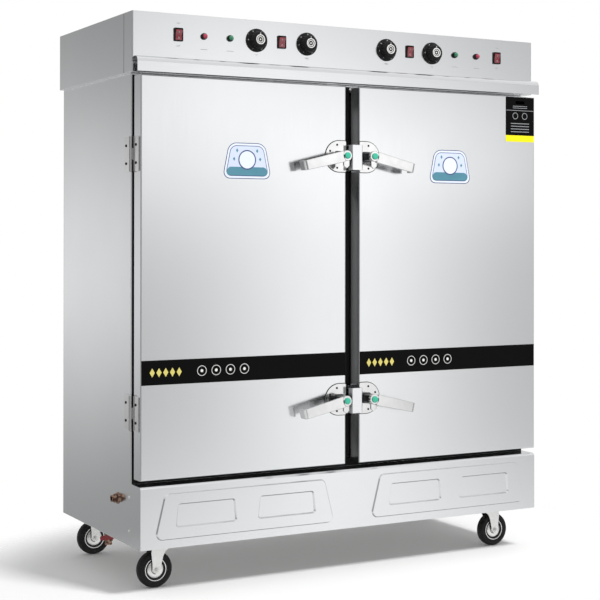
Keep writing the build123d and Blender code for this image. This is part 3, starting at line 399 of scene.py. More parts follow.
BLACK_FILM = printed_film("black", "#070707", "#0b0b0c", 0.06)
YELLOW_FILM = printed_film("yellow", "#f3ea1f", "#e8de18")
PALE_FILM = printed_film("pale_blue", "#d5def2", "#c9d4ec")
ICE_FILM = printed_film("ice", "#e6ecf9", "#dde5f6")
INDIGO_FILM = printed_film("indigo", "#4d5780", "#434c72")
LAGOON_FILM = printed_film("lagoon", "#4c7f92", "#5d93a3")
STRAW_FILM = printed_film("straw", "#ded27a", "#d2c56a")


# Shapes


def node_box(node: str) -> tuple[Vector, Vector]:
    """Lowest and highest corner of a CAD node, in millimetres."""
    low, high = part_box(node)
    return low / MM, high / MM


def node_middle(node: str) -> Vector:
    """The middle of a CAD node's box, in millimetres."""
    low, high = node_box(node)
    return (low + high) / 2


def moved(bm: Mesh, *steps: Matrix) -> Mesh:
    """Apply transforms in order and keep the faces turned outward.

    Args:
        bm: The mesh to move.
        steps: The transforms, the first one first.

    Returns:
        The same mesh.
    """
    whole = Matrix.Identity(4)
    for step in steps:
        whole = step @ whole
    bmesh.ops.transform(bm, matrix=whole, verts=bm.verts)
    if whole.determinant() < 0:
        bmesh.ops.reverse_faces(bm, faces=bm.faces)
    return bm


def shift(x: float, y: float, z: float) -> Matrix:
    """A plain move."""
    return Matrix.Translation((x, y, z))


def rotation(degrees: float, axis: str) -> Matrix:
    """A turn about one of the axes."""
    return Matrix.Rotation(math.radians(degrees), 4, axis)


def merged(parts: Iterable[Mesh]) -> Mesh:
    """Put several meshes into one.

    Args:
        parts: The meshes, which are freed.

    Returns:
        One mesh with all of them.
    """
    whole = bmesh.new()
    for part in parts:
        scratch = bpy.data.meshes.new("part")
        part.to_mesh(scratch)
        part.free()
        whole.from_mesh(scratch)
        bpy.data.meshes.remove(scratch)
    return whole


def rounded(
    bm: Mesh, width: float, segments: int = 2,
    chosen: Callable[[bmesh.types.BMEdge], bool] = lambda edge: True,
) -> Mesh:
    """Round the sharp edges of a mesh.

    Args:
        bm: The mesh.
        width: How wide the rounding is.
        segments: How many faces go round it.
        chosen: Which of the sharp edges are rounded.

    Returns:
        The same mesh.
    """
    smooth = math.radians(25)
    edges = [
        edge for edge in bm.edges
        if edge.is_manifold and edge.calc_face_angle() > smooth and chosen(edge)
    ]
    bmesh.ops.bevel(
        bm, geom=edges, offset=width, offset_type="OFFSET", segments=segments, profile=0.5,
        affect="EDGES", clamp_overlap=True, material=-1,
    )
    return bm


def along(edge: bmesh.types.BMEdge, axis: int) -> bool:
    """Whether an edge runs very nearly along an axis, counted from 0 for X."""
    run = edge.verts[1].co - edge.verts[0].co
    return abs(run[axis]) > 0.99 * run.length


def extruded(
    bm: Mesh, face: bmesh.types.BMFace
) -> tuple[list[bmesh.types.BMVert], bmesh.types.BMFace]:
    """Extrude one face without moving it yet.

    Args:
        bm: The face's mesh.
        face: The face, which stays where it is.

    Returns:
        The new points and the new face.
    """
    grown = bmesh.ops.extrude_face_region(bm, geom=[face])["geom"]
    points = [part for part in grown if isinstance(part, bmesh.types.BMVert)]
    return points, next(part for part in grown if isinstance(part, bmesh.types.BMFace))


def slab(outline: Sequence[Point], depth: float, corner: float = 0.0, edge: float = 0.0) -> Mesh:
    """A plate with an outline in X and Z, from Y 0 back to Y depth.

    Args:
        outline: The outline's corner points.
        depth: How deep the plate is.
        corner: The radius of the outline's corners.
        edge: The radius of the front and back rims.

    Returns:
        The new mesh.
    """
    bm = bmesh.new()
    face = bm.faces.new([bm.verts.new((x, 0, z)) for x, z in outline])
    bmesh.ops.translate(bm, vec=(0, depth, 0), verts=extruded(bm, face)[0])
    bmesh.ops.recalc_face_normals(bm, faces=bm.faces)
    if corner:
        rounded(bm, corner, 5, lambda found: along(found, 1))
    if edge:
        rounded(bm, edge, 2, lambda found: not along(found, 1))
    return bm


def rectangle(width: float, height: float) -> list[Point]:
    """The corners of a rectangle round the middle.

    Args:
        width: Its size along X.
        height: Its size along Z.

    Returns:
        Its four corners.
    """
    return [
        (-width / 2, -height / 2), (width / 2, -height / 2),
        (width / 2, height / 2), (-width / 2, height / 2),
    ]


def turned(profile: Sequence[Point], steps: int = 40, closed: bool = False) -> Mesh:
    """Spin a profile of radius and height round Z.

    Args:
        profile: Points of radius and height.
        steps: How many faces go round.
        closed: Whether the last point joins the first, as in a ring.

    Returns:
        The new mesh.
    """
    bm = bmesh.new()
    points = [bm.verts.new((radius, 0, height)) for radius, height in profile]
    pairs = list(zip(points, points[1:]))
    if closed:
        pairs.append((points[-1], points[0]))
    edges = [bm.edges.new(pair) for pair in pairs]
    bmesh.ops.spin(
        bm, geom=points + edges, cent=(0, 0, 0), axis=(0, 0, 1), dvec=(0, 0, 0),
        angle=math.tau, steps=steps, use_merge=True,
    )
    bmesh.ops.remove_doubles(bm, verts=bm.verts, dist=WELD)
    bmesh.ops.recalc_face_normals(bm, faces=bm.faces)
    return bm


def ring(outer: float, inner: float, height: float, steps: int = 40) -> Mesh:
    """A flat ring that stands on Z 0."""
    return turned([(inner, 0), (outer, 0), (outer, height), (inner, height)], steps, True)


def disc(radius: float, height: float, steps: int) -> Mesh:
    """A plain round disc that stands on Z 0."""
    return turned([(0, 0), (radius, 0), (radius, height), (0, height)], steps)


def hexagon(across: float, height: float, edge: float) -> Mesh:
    """A hexagon head that stands on Z 0.

    Args:
        across: The distance between opposite corners.
        height: How high it stands.
        edge: The radius of its edges.

    Returns:
        The new mesh.
    """
    bm = bmesh.new()
    bmesh.ops.create_cone(
        bm, cap_ends=True, segments=6, radius1=across / 2, radius2=across / 2, depth=height
    )
    return moved(rounded(bm, edge), shift(0, 0, height / 2))


def words(text: str, size: float) -> Mesh:
    """Printed figures that face the viewer, centred on the origin and 0.1 mm thick.

    Args:
        text: What is printed.
        size: The size of the type.

    Returns:
        The new mesh.
    """
    curve = bpy.data.curves.new("print", "FONT")
    curve.body = text
    curve.size = size
    curve.align_x = "CENTER"
    curve.align_y = "CENTER"
    curve.extrude = 0.05
    curve.resolution_u = 2
    source = bpy.data.objects.new("print", curve)
    bpy.context.scene.collection.objects.link(source)
    bpy.context.view_layer.update()
    flat = bpy.data.meshes.new_from_object(
        source.evaluated_get(bpy.context.evaluated_depsgraph_get())
    )
    bm = bmesh.new()
    bm.from_mesh(flat)
    bmesh.ops.remove_doubles(bm, verts=bm.verts, dist=WELD)
    bpy.data.objects.remove(source)
    bpy.data.curves.remove(curve)
    bpy.data.meshes.remove(flat)
    return moved(bm, TOWARDS_VIEWER)


def weigh_normals(mesh: bpy.types.Mesh, sharp: float) -> None:
    """Shade smooth, with large flat faces kept flat up to their rounded rims.

    Args:
        mesh: The mesh whose normals are set.
        sharp: The angle in degrees from which an edge stays sharp.
    """
    limit = math.cos(math.radians(sharp))
    round_vertex: list[list[tuple[Vector, float]]] = [[] for _ in mesh.vertices]
    for face in mesh.polygons:
        for corner in face.vertices:
            round_vertex[corner].append((face.normal.copy(), face.area))
    normals = []
    for face in mesh.polygons:
        own = face.normal
        for corner in face.vertices:
            whole = Vector((0, 0, 0))
            for normal, area in round_vertex[corner]:
                if normal.dot(own) > limit:
                    whole += normal * area
            normals.append(whole.normalized() if whole.length > 0 else own.copy())
    mesh.normals_split_custom_set(normals)


def make_piece(
    bm: Mesh, name: str, finish: Finish, body: str,
    stands_for: Sequence[str] = (), sharp: float = 38.0,
) -> bpy.types.Object:
    """Turn a mesh into a piece of the cabinet.

    Args:
        bm: The mesh in millimetres, which is freed.
        name: The piece's name.
        finish: Its material.
        body: The body that it rides on.
        stands_for: The CAD nodes that it stands for.
        sharp: The angle in degrees from which an edge stays sharp in shading.

    Returns:
        The new object.
    """
    bmesh.ops.scale(bm, vec=(MM, MM, MM), verts=bm.verts)
    mesh = bpy.data.meshes.new(name)
    bm.to_mesh(mesh)
    bm.free()
    mesh.shade_smooth()
    weigh_normals(mesh, sharp)
    piece = bpy.data.objects.new(name, mesh)
    bpy.context.scene.collection.objects.link(piece)
    mesh.materials.append(finish.material())
    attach(piece, body)
    if stands_for:
        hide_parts(*stands_for)
    LOG.info("%s: %d faces, %s, on %s", name, len(mesh.polygons), finish.name, body)
    return piece


# The cabinet's sheet metal and what is carried over from the CAD


@dataclass
class CarriedNodes:
    """The CAD nodes whose shapes are right as they are, listed under their finishes."""

    nodes: ClassVar[dict[Finish, Sequence[str]]] = {
        brushed_sheet(Grain.UPRIGHT): (
            "side_panel_left", "side_panel_right", "back_roof_panel", "face_frame",
            "door_shell_left", "door_shell_right", "latch_keepers",
        ),
        brushed_sheet(Grain.ACROSS): ("head_cover", "control_panel", "visor"),
        brushed_sheet(Grain.ACROSS, 0.3): ("base_panel",),
        MILL_SHEET: (
            "door_inner_left", "door_inner_right", "chamber_liner_left", "chamber_liner_right",
            "tray_racks", "splash_plates",
        ),
        BLACK_SILICONE_AND_SHADE: ("door_gasket_left", "door_gasket_right"),
        HEATER_SHEATH: ("heating_elements",),
        POURED_FOAM: ("insulation_foam",),
        ZINC_PLATE: ("chassis_frame", "dial_mechanisms"),
        CAST_BRASS: ("water_inlet", "drain_valve"),
        DIPPED_VINYL: ("drain_handle",),
    }

    def dress(self) -> None:
        """Give each carried node its material."""
        for finish, nodes in self.nodes.items():
            for node in nodes:
                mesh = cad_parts[node].data
                mesh.materials.clear()
                mesh.materials.append(finish.material())
                LOG.info("%s: carried over in %s", node, finish.name)


# Controls on the head


@dataclass
class DialKnob:
    """A black knob with a fluted grip, white rings in its hub and a numbered skirt."""

    place: str
    side: Side
    figures: Sequence[str]
    sweep: float = 300.0
    flutes: int = 18
    flute_depth: float = 0.07
    steps: int = 72
    grip_radius: float = 27.0
    skirt_height: float = 6.0
    hub_radius: float = 14.6
    hub_depth: float = 2.6
    tick_width: float = 1.1
    ticks: Point = (3.2, 2.0)
    tick_y: float = -3.2
    figure_size: float = 4.2
    figure_inset: float = 5.4
    figure_y: float = -5.3

    def build(self) -> None:
        """Make the moulding, the rings and the print."""
        name = f"knob_{self.place}_{self.side.word}"
        low, high = node_box(name)
        radius, reach = (high.x - low.x) / 2, high.y - low.y
        middle = node_middle(name)
        seat = shift(middle.x, high.y, middle.z)
        make_piece(moved(self.moulding(radius, reach), TOWARDS_VIEWER, seat), f"{name}_moulding",
                   MOULDED_BLACK, name, [name])
        make_piece(moved(self.hub_rings(reach), TOWARDS_VIEWER, seat), f"{name}_rings",
                   WHITE_MOULDING, name)
        make_piece(moved(self.dial_print(radius), seat), f"{name}_figures", WHITE_INK, name)

    def moulding(self, radius: float, reach: float) -> Mesh:
        """The knob's body, with its flutes pressed into the grip.

        Args:
            radius: The skirt's radius.
            reach: How far the knob stands out.

        Returns:
            The body, standing on Z 0.
        """
        grip, skirt, hub = self.grip_radius, self.skirt_height, self.hub_radius
        face = reach - self.hub_depth
        bm = turned([
            (0, 0), (radius - 0.5, 0), (radius, 0.5), (radius, 2.2), (radius - 0.6, 3.0),
            (grip + 1.6, skirt - 0.6), (grip + 0.4, skirt), (grip, skirt + 1.0),
            (grip - 1.0, reach * 0.55), (grip - 2.2, reach - 5.5), (grip - 3.6, reach - 3.4),
            (grip - 6.0, reach - 1.8), (hub + 1.4, reach - 1.0), (hub + 0.2, reach - 1.4),
            (hub, face), (0, face),
        ], self.steps)
        for vert in bm.verts:
            across = vert.co.to_2d()
            if hub + 2 < across.length < grip + 0.2 and vert.co.z > skirt + 0.5:
                wave = math.cos(self.flutes * math.atan2(across.y, across.x))
                deep = self.flute_depth * max(0.0, wave) * (across.length / grip) ** 2
                vert.co.x *= 1 - deep
                vert.co.y *= 1 - deep
        return bm

    def hub_rings(self, reach: float) -> Mesh:
        """Two white rings in the hub with a centre stud, and a pointer on the grip.

        Args:
            reach: How far the knob stands out.

        Returns:
            The white parts, on a knob that stands on Z 0.
        """
        face = shift(0, 0, reach - self.hub_depth)
        outer = turned([
            (12.0, reach - self.hub_depth), (self.hub_radius, reach - self.hub_depth),
            (self.hub_radius, reach - 0.5), (self.hub_radius - 0.5, reach), (12.4, reach),
            (12.0, reach - 0.4),
        ], steps=48, closed=True)
        inner = moved(ring(9.2, 7.2, 1.0), face)
        stud = moved(turned([(0, 0), (2.4, 0), (2.4, 0.9), (1.9, 1.3), (0, 1.3)], steps=24), face)
        pointer = moved(slab(rectangle(1.4, 6.0), 0.7, edge=0.2), shift(0, -0.35, 0),
                        TOWARDS_VIEWER, shift(0, 17.5, reach - 1.2))
        return merged([outer, inner, stud, pointer])

    def dial_print(self, radius: float) -> Mesh:
        """Ticks round the edge of the skirt with figures between them and the grip.

        Args:
            radius: The skirt's radius.

        Returns:
            The print, facing the viewer.
        """
        parts = []
        last = 2 * len(self.figures) - 2
        for step in range(last + 1):
            spin = rotation(self.sweep * (step / last - 0.5), "Y")
            length = self.ticks[step % 2]
            tick = slab(rectangle(self.tick_width, length), 0.5)
            parts.append(moved(tick, shift(0, self.tick_y, radius - 0.6 - length / 2), spin))
            if step % 2 == 0:
                figure = words(self.figures[step // 2], self.figure_size)
                home = shift(0, self.figure_y, radius - self.figure_inset)
                parts.append(moved(figure, home, spin))
        return merged(parts)


@dataclass
class RockerSwitches:
    """Four rocker switches: black frames in the panel, and a red key in each."""

    width: float = 28.0
    height: float = 39.0
    rise: float = 5.0
    corner: float = 3.0
    edge: float = 0.7
    wall: float = 3.2
    well: float = 17.5
    housing: float = 14.0
    housing_wall: float = 1.2
    tilt: float = 10.0
    pivot_depth: float = 0.5
    key_gap: float = 1.0
    key_tip: float = 7.0
    key_middle: float = 4.5
    sign_y: float = -5.9
    sign_z: float = 8.4
    ink: float = 0.3

    @property
    def key_half(self) -> float:
        """Half of a key's length."""
        return self.height / 2 - self.wall - self.key_gap

    def build(self) -> None:
        """Make the frames as one piece and each key on its own body."""
        frames = []
        panel = node_box("control_panel")[0].y
        z = node_middle("panel_bezels").z
        for side in Side:
            for place in ("outer", "inner"):
                name = f"rocker_{place}_{side.word}"
                x = node_middle(name).x
                frames.append(moved(self.frame(), shift(x, panel - self.rise, z)))
                home = (rotation(self.tilt, "X"), shift(x, panel + self.pivot_depth, z))
                make_piece(moved(self.key(), *home), f"{name}_key", RED_KEY, name,
                           [name])
                make_piece(moved(self.signs(), *home), f"{name}_signs", GREY_INK, name)
        make_piece(merged(frames), "switch_frames", MOULDED_BLACK, "cabinet",
                   ["panel_bezels"])

    def frame(self) -> Mesh:
        """A bevelled frame with its housing behind the panel and a well in the front.

        Returns:
            The frame with its front at Y 0.
        """
        bm = slab(rectangle(self.width, self.height), self.rise, self.corner, self.edge)
        front = min(bm.faces, key=lambda face: face.calc_center_median().y)
        back = max(bm.faces, key=lambda face: face.calc_center_median().y)
        for face, wall, depth in ((front, self.wall, self.well),
                                  (back, self.wall - self.housing_wall, self.housing)):
            bmesh.ops.inset_region(bm, faces=[face], thickness=wall - self.edge)
            bmesh.ops.translate(bm, vec=(0, depth, 0), verts=extruded(bm, face)[0])
            bmesh.ops.delete(bm, geom=[face], context="FACES_ONLY")
        return bm

    def key(self) -> Mesh:
        """The key's bent face over its round belly.

        Returns:
            The key, untilted, with its pivot on the origin.
        """
        half = self.key_half
        belly = [
            (half * math.cos(turn), -half * 0.7 * math.sin(turn))
            for turn in (math.pi * step / 8 for step in range(1, 8))
        ]
        outline = [(half, self.key_tip), *belly, (-half, self.key_tip), (0, self.key_middle)]
        width = self.width - 2 * self.wall - self.key_gap
        bm = moved(slab(outline, width), shift(0, -width / 2, 0), rotation(90, "Z"),
                   rotation(90, "X"), rotation(180, "Y"))
        return rounded(bm, 0.7)

    def signs(self) -> Mesh:
        """The strokes for on and off.

        Returns:
            Both signs, on a key that isn't tilted.
        """
        slope = math.degrees(math.atan2(self.key_tip - self.key_middle, self.key_half))
        stroke = moved(slab(rectangle(1.5, 5.0), self.ink), shift(0, -self.ink / 2, 0),
                       rotation(slope, "X"), shift(0, self.sign_y, self.sign_z))
        circle = moved(ring(2.6, 1.6, self.ink, 28), shift(0, 0, -self.ink / 2),
                       TOWARDS_VIEWER, rotation(-slope, "X"),
                       shift(0, self.sign_y, -self.sign_z))
        return merged([stroke, circle])


@dataclass
class HeadTrim:
    """Faint print round the controls, and grey beads that paint the shadow lines of the seams where
    the panel meets the cover.
    """

    letter: float = 7.5
    ink: float = 0.1
    switch_x: float = 570.0
    switch_step: float = 33.0
    knob_step: float = 44.0
    knobs: Sequence[tuple[float, str]] = ((315.0, "°C"), (143.0, "MIN"))
    lamps: Sequence[float] = (488.0, 403.0)
    lamp_step: float = 38.0
    seam_width: float = 1.6
    seam_height: float = 0.4
    seam_edge: float = 0.15
    seam_y: float = -200.8
    seam_end: float = 1.0

    def build(self) -> None:
        """Make the print and the two seam beads of painted shade."""
        low, high = node_box("control_panel")
        z = node_middle("panel_bezels").z
        marks, seams = [], []
        for side in Side:
            labels = [(self.switch_x, self.switch_step, "ON"),
                      (self.switch_x, -self.switch_step, "OFF")]
            labels += [(place, -self.knob_step, word) for place, word in self.knobs]
            for place, step, word in labels:
                label = words(word, self.letter)
                marks.append(moved(label, shift(side.value * place, 0, z + step)))
            for place in self.lamps:
                dash = slab(rectangle(self.letter * 3, self.letter / 5), self.ink)
                home = shift(side.value * place, -self.ink / 2, z - self.lamp_step)
                marks.append(moved(dash, home))
            # Each bead is a grey strip along the seam, a painted shadow line of the joint.
            bead = slab(rectangle(self.seam_width, high.z - low.z - 2 * self.seam_end),
                        self.seam_height, edge=self.seam_edge)
            home = shift(side.value * (high.x + self.seam_height), self.seam_y,
                         (low.z + high.z) / 2)
            seams.append(moved(bead, rotation(90 * side.value, "Z"), home))
        home = shift(0, low.y - self.ink * 0.6, 0)
        make_piece(moved(merged(marks), home), "panel_print", GREY_INK, "cabinet")
        make_piece(merged(seams), "head_seams", SHADE_GREY_SILICONE, "cabinet")


@dataclass
class SignalLamps:
    """Red and green lamps: turned black bezels with domed, ribbed lenses."""

    bezel_radius: float = 10.0
    bezel_height: float = 8.0
    lens_radius: float = 7.2
    lens_height: float = 15.0

    def build(self) -> None:
        """Make the bezels as one piece and the lenses of each colour as one."""
        panel = node_box("control_panel")[0].y
        bezels = []
        for colour, finish in (("red", RED_LENS), ("green", GREEN_LENS)):
            node = f"lamp_lenses_{colour}"
            x = node_box(node)[1].x - self.lens_radius
            z = node_middle(node).z
            homes = [(TOWARDS_VIEWER, shift(side.value * x, panel, z)) for side in Side]
            bezels += [moved(self.bezel(), *home) for home in homes]
            lenses = merged([moved(self.lens(), *home) for home in homes])
            make_piece(lenses, node + "_domes", finish, "cabinet", [node])
        make_piece(merged(bezels), "lamp_bezels", MOULDED_BLACK, "cabinet")

    def bezel(self) -> Mesh:
        """A tapered bezel with a rolled foot.

        Returns:
            The bezel, standing on Z 0.
        """
        radius, height, seat = self.bezel_radius, self.bezel_height, self.lens_radius + 0.1
        return turned([
            (seat, 0), (radius, 0), (radius, 1.8), (radius - 0.5, 2.5), (seat + 1.5, height - 0.5),
            (seat + 1.0, height), (seat, height), (seat, 5),
        ], steps=36, closed=True)

    def lens(self) -> Mesh:
        """A dome with two shallow ribs.

        Returns:
            The lens, in a bezel that stands on Z 0.
        """
        radius, height = self.lens_radius, self.lens_height
        return turned([
            (0, 5), (radius, 5), (radius, height - 4.6), (radius - 0.4, height - 3.8),
            (radius - 0.9, height - 3.2), (radius - 1.6, height - 2.0),
            (radius - 3.0, height - 0.9), (radius - 3.4, height - 1.0), (2.0, height - 0.1),
            (0, height),
        ], steps=36)


# Latches between the doors


@dataclass
class CrossLatch:
    """One cast latch: plate, boss and cap on the door, and a lever that turns on its pin."""

    level: str
    side: Side
    height: float
    pivot_x: float = 48.6
    door_face: float = -298.9
    plate_radius: float = 48.0
    plate_wall: float = 2.5
    plate_inset: float = 24.7
    plate_corner: float = 5.0
    plate_steps: int = 28
    gasket_rim: float = 1.7
    gasket_wall: float = 1.2
    boss_width: float = 26.0
    boss_length: float = 39.0
    boss_flare: float = 7.0
    boss_foot: float = 2.2
    lever_front: float = -352.7
    lever_wall: float = 6.0
    hub_radius: float = 16.0
    hub_length: float = 12.0
    hub_bore: float = 5.1
    arm_start: float = 10.0
    arm_length: float = 150.0
    arm_foot: float = 34.0
    arm_end: float = 29.0
    droop: float = 13.0
    lip: float = 34.0
    lip_bend: float = 9.0
    nose: float = 38.0
    nose_width: float = 20.0
    screw_turns: Sequence[float] = (-78, -26, 26, 78)
    screw_circle: float = 36.0
    screw_size: Point = (3.4, 1.0)

    def build(self) -> None:
        """Make the fixed parts on the door and the lever on its own body."""
        name = f"{self.level}_{self.side.word}"
        door = f"door_{self.side.word}"
        lever = f"latch_lever_{name}"
        for shape, piece, finish, body, nodes in (
            (self.plate(0.0, self.plate_wall), f"latch_plate_{name}", BUFFED_CASTING, door,
             [f"latch_bases_{self.side.word}"]),
            # A black seal under the plate; its rim stands past the plate as a painted shadow line
            # round it.
            (self.plate(self.gasket_rim, self.gasket_wall), f"latch_gasket_{name}", BLACK_SILICONE_AND_SHADE,
             door, []),
            (self.boss(), f"latch_boss_{name}", DIE_CAST_ZINC, door, []),
            (self.screws(), f"latch_screws_{name}", BLACK_OXIDE_AND_SHADE, door, []),
            (self.cap(), f"latch_cap_{name}", TEAL_CAP, door, []),
            (self.lever(), f"{lever}_casting", BUFFED_CASTING, lever, [lever]),
        ):
            make_piece(self.placed(shape), piece, finish, body, nodes)

    def placed(self, bm: Mesh) -> Mesh:
        """A shape made for the right door round the pivot, moved to its own place."""
        bm = moved(bm, shift(self.pivot_x, 0, self.height))
        return moved(bm, MIRRORED) if self.side is Side.LEFT else bm

    def plate(self, rim: float, wall: float) -> Mesh:
        """The round plate, cut straight at the door's edge, or the black seal under it, whose rim
        paints the shadow line round the plate.

        Args:
            rim: How far the round edge stands out past the plate's own.
            wall: The thickness.

        Returns:
            The shape on the door's face.
        """
        radius, inset, steps = self.plate_radius + rim, self.plate_inset, self.plate_steps
        arc = [
            (radius * math.cos(turn), radius * math.sin(turn))
            for turn in (math.radians(-90 + 180 * step / steps) for step in range(steps + 1))
        ]
        shape = slab([(-inset, -radius), *arc, (-inset, radius)], wall)
        cut = 1 - inset
        rounded(shape, self.plate_corner, 4,
                lambda edge: along(edge, 1) and edge.verts[0].co.x < cut)
        rounded(shape, wall * 0.4, 2, lambda edge: not along(edge, 1))
        return moved(shape, shift(0, self.door_face - wall, 0))

    def boss(self) -> Mesh:
        """The square boss that carries the pivot, with its flared foot.

        Returns:
            The boss on the plate's face.
        """
        face = self.door_face - self.plate_wall
        width, foot = self.boss_width, self.boss_width + self.boss_flare
        block = slab(rectangle(width, width), self.boss_length, corner=5.0, edge=0.8)
        flare = slab(rectangle(foot, foot), 3.0, corner=7.0, edge=1.4)
        return merged([
            moved(block, shift(0, face - self.boss_length, 0)),
            moved(flare, shift(0, face - self.boss_foot, 0)),
        ])

    def screws(self) -> Mesh:
        """Domed cross-head screws round the plate.

        Returns:
            The screws on the plate's face.
        """
        face = self.door_face - self.plate_wall
        parts = []
        for turn in self.screw_turns:
            angle = math.radians(turn)
            spot = (self.screw_circle * math.cos(angle), face, self.screw_circle * math.sin(angle))
            parts.append(moved(cross_screw(*self.screw_size), TOWARDS_VIEWER, shift(*spot)))
        return merged(parts)

    def cap(self) -> Mesh:
        """The domed nylon cap over the pivot's end."""
        shape = turned([(0, 0), (10, 0), (10, 2.0), (9.4, 3.1), (7.8, 3.8), (0, 4.2)], steps=40)
        return moved(shape, TOWARDS_VIEWER, shift(0, self.lever_front - 0.3, 0))

    def lever(self) -> Mesh:
        """Hub, drooping arm with its lip bent back, and the nose.

        Returns:
            The lever, with its pivot on the Y axis.
        """
        bore, radius, length = self.hub_bore, self.hub_radius, self.hub_length
        hub = turned([
            (bore, 0), (radius - 0.8, 0), (radius, 0.8), (radius, length - 1.4),
            (radius - 1.4, length), (bore, length),
        ], steps=48, closed=True)
        hub = moved(hub, TOWARDS_VIEWER, shift(0, self.lever_front + length, 0))
        arm = moved(self.arm(), shift(0, self.lever_front, 0), rotation(self.droop, "Y"))
        half, tip = self.nose_width / 2, -self.nose
        nose = slab([
            (-half, 0), (-half, tip + 8), (8 - half, tip), (half - 4, tip + 4), (half, tip + 8),
            (half, 0),
        ], length - self.lever_wall, edge=1.0)
        return merged([hub, arm, moved(nose, shift(0, self.lever_front + self.lever_wall, 0))])

    def arm(self) -> Mesh:
        """A flat bar drawn along a line that ends in the lip, with its width tapering.

        Returns:
            The arm with its front at Y 0, running out along X.
        """
        bend = self.lip_bend
        straight = self.arm_length - bend
        line = [(self.arm_start, 0.0, 0.0), (straight * 0.5, 0.0, 0.0), (straight, 0.0, 0.0)]
        for step in range(1, 7):
            turn = math.radians(90 * step / 6)
            line.append((straight + bend * math.sin(turn), bend - bend * math.cos(turn),
                         math.degrees(turn)))
        line.append((self.arm_length, self.lip, 90.0))
        bm = bmesh.new()
        half = self.arm_foot / 2
        face = bm.faces.new([
            bm.verts.new(spot) for spot in
            ((0, 0, -half), (0, self.lever_wall, -half), (0, self.lever_wall, half), (0, 0, half))
        ])
        bmesh.ops.translate(bm, vec=(line[0][0], 0, 0), verts=bm.verts)
        for step, (last, here) in enumerate(zip(line, line[1:])):
            verts, end = extruded(bm, face)
            if step:
                bmesh.ops.delete(bm, geom=[face], context="FACES_ONLY")
            face = end
            narrow = self.width_at(here[0]) / self.width_at(last[0])
            bmesh.ops.transform(
                bm, verts=verts,
                matrix=shift(here[0], here[1], 0) @ rotation(here[2] - last[2], "Z")
                @ Matrix.Diagonal((1, 1, narrow, 1)) @ shift(-last[0], -last[1], 0),
            )
        bmesh.ops.recalc_face_normals(bm, faces=bm.faces)
        return rounded(bm, 1.6, segments=3)

    def width_at(self, x: float) -> float:
        """The arm's width at a distance from the pivot."""
        share = min(1.0, max(0.0, x / self.arm_length))
        return self.arm_foot + (self.arm_end - self.arm_foot) * share


def cross_screw(radius: float, height: float) -> Mesh:
    """A domed screw head on Z 0 with a cross on it.

    Args:
        radius: The head's radius.
        height: The head's height.

    Returns:
        The new mesh.
    """
    head = turned([
        (0, 0), (radius, 0), (radius, height * 0.35), (radius * 0.86, height * 0.75),
        (radius * 0.5, height), (0, height),
    ], steps=24)
    bars = [
        moved(slab(rectangle(radius * 1.1, radius * 0.28), 0.25), TOWARDS_VIEWER,
              rotation(turn, "Z"), shift(0, 0, height + 0.05))
        for turn in (35, 125)
    ]
    return merged([head, *bars])


# Hinges on the sides


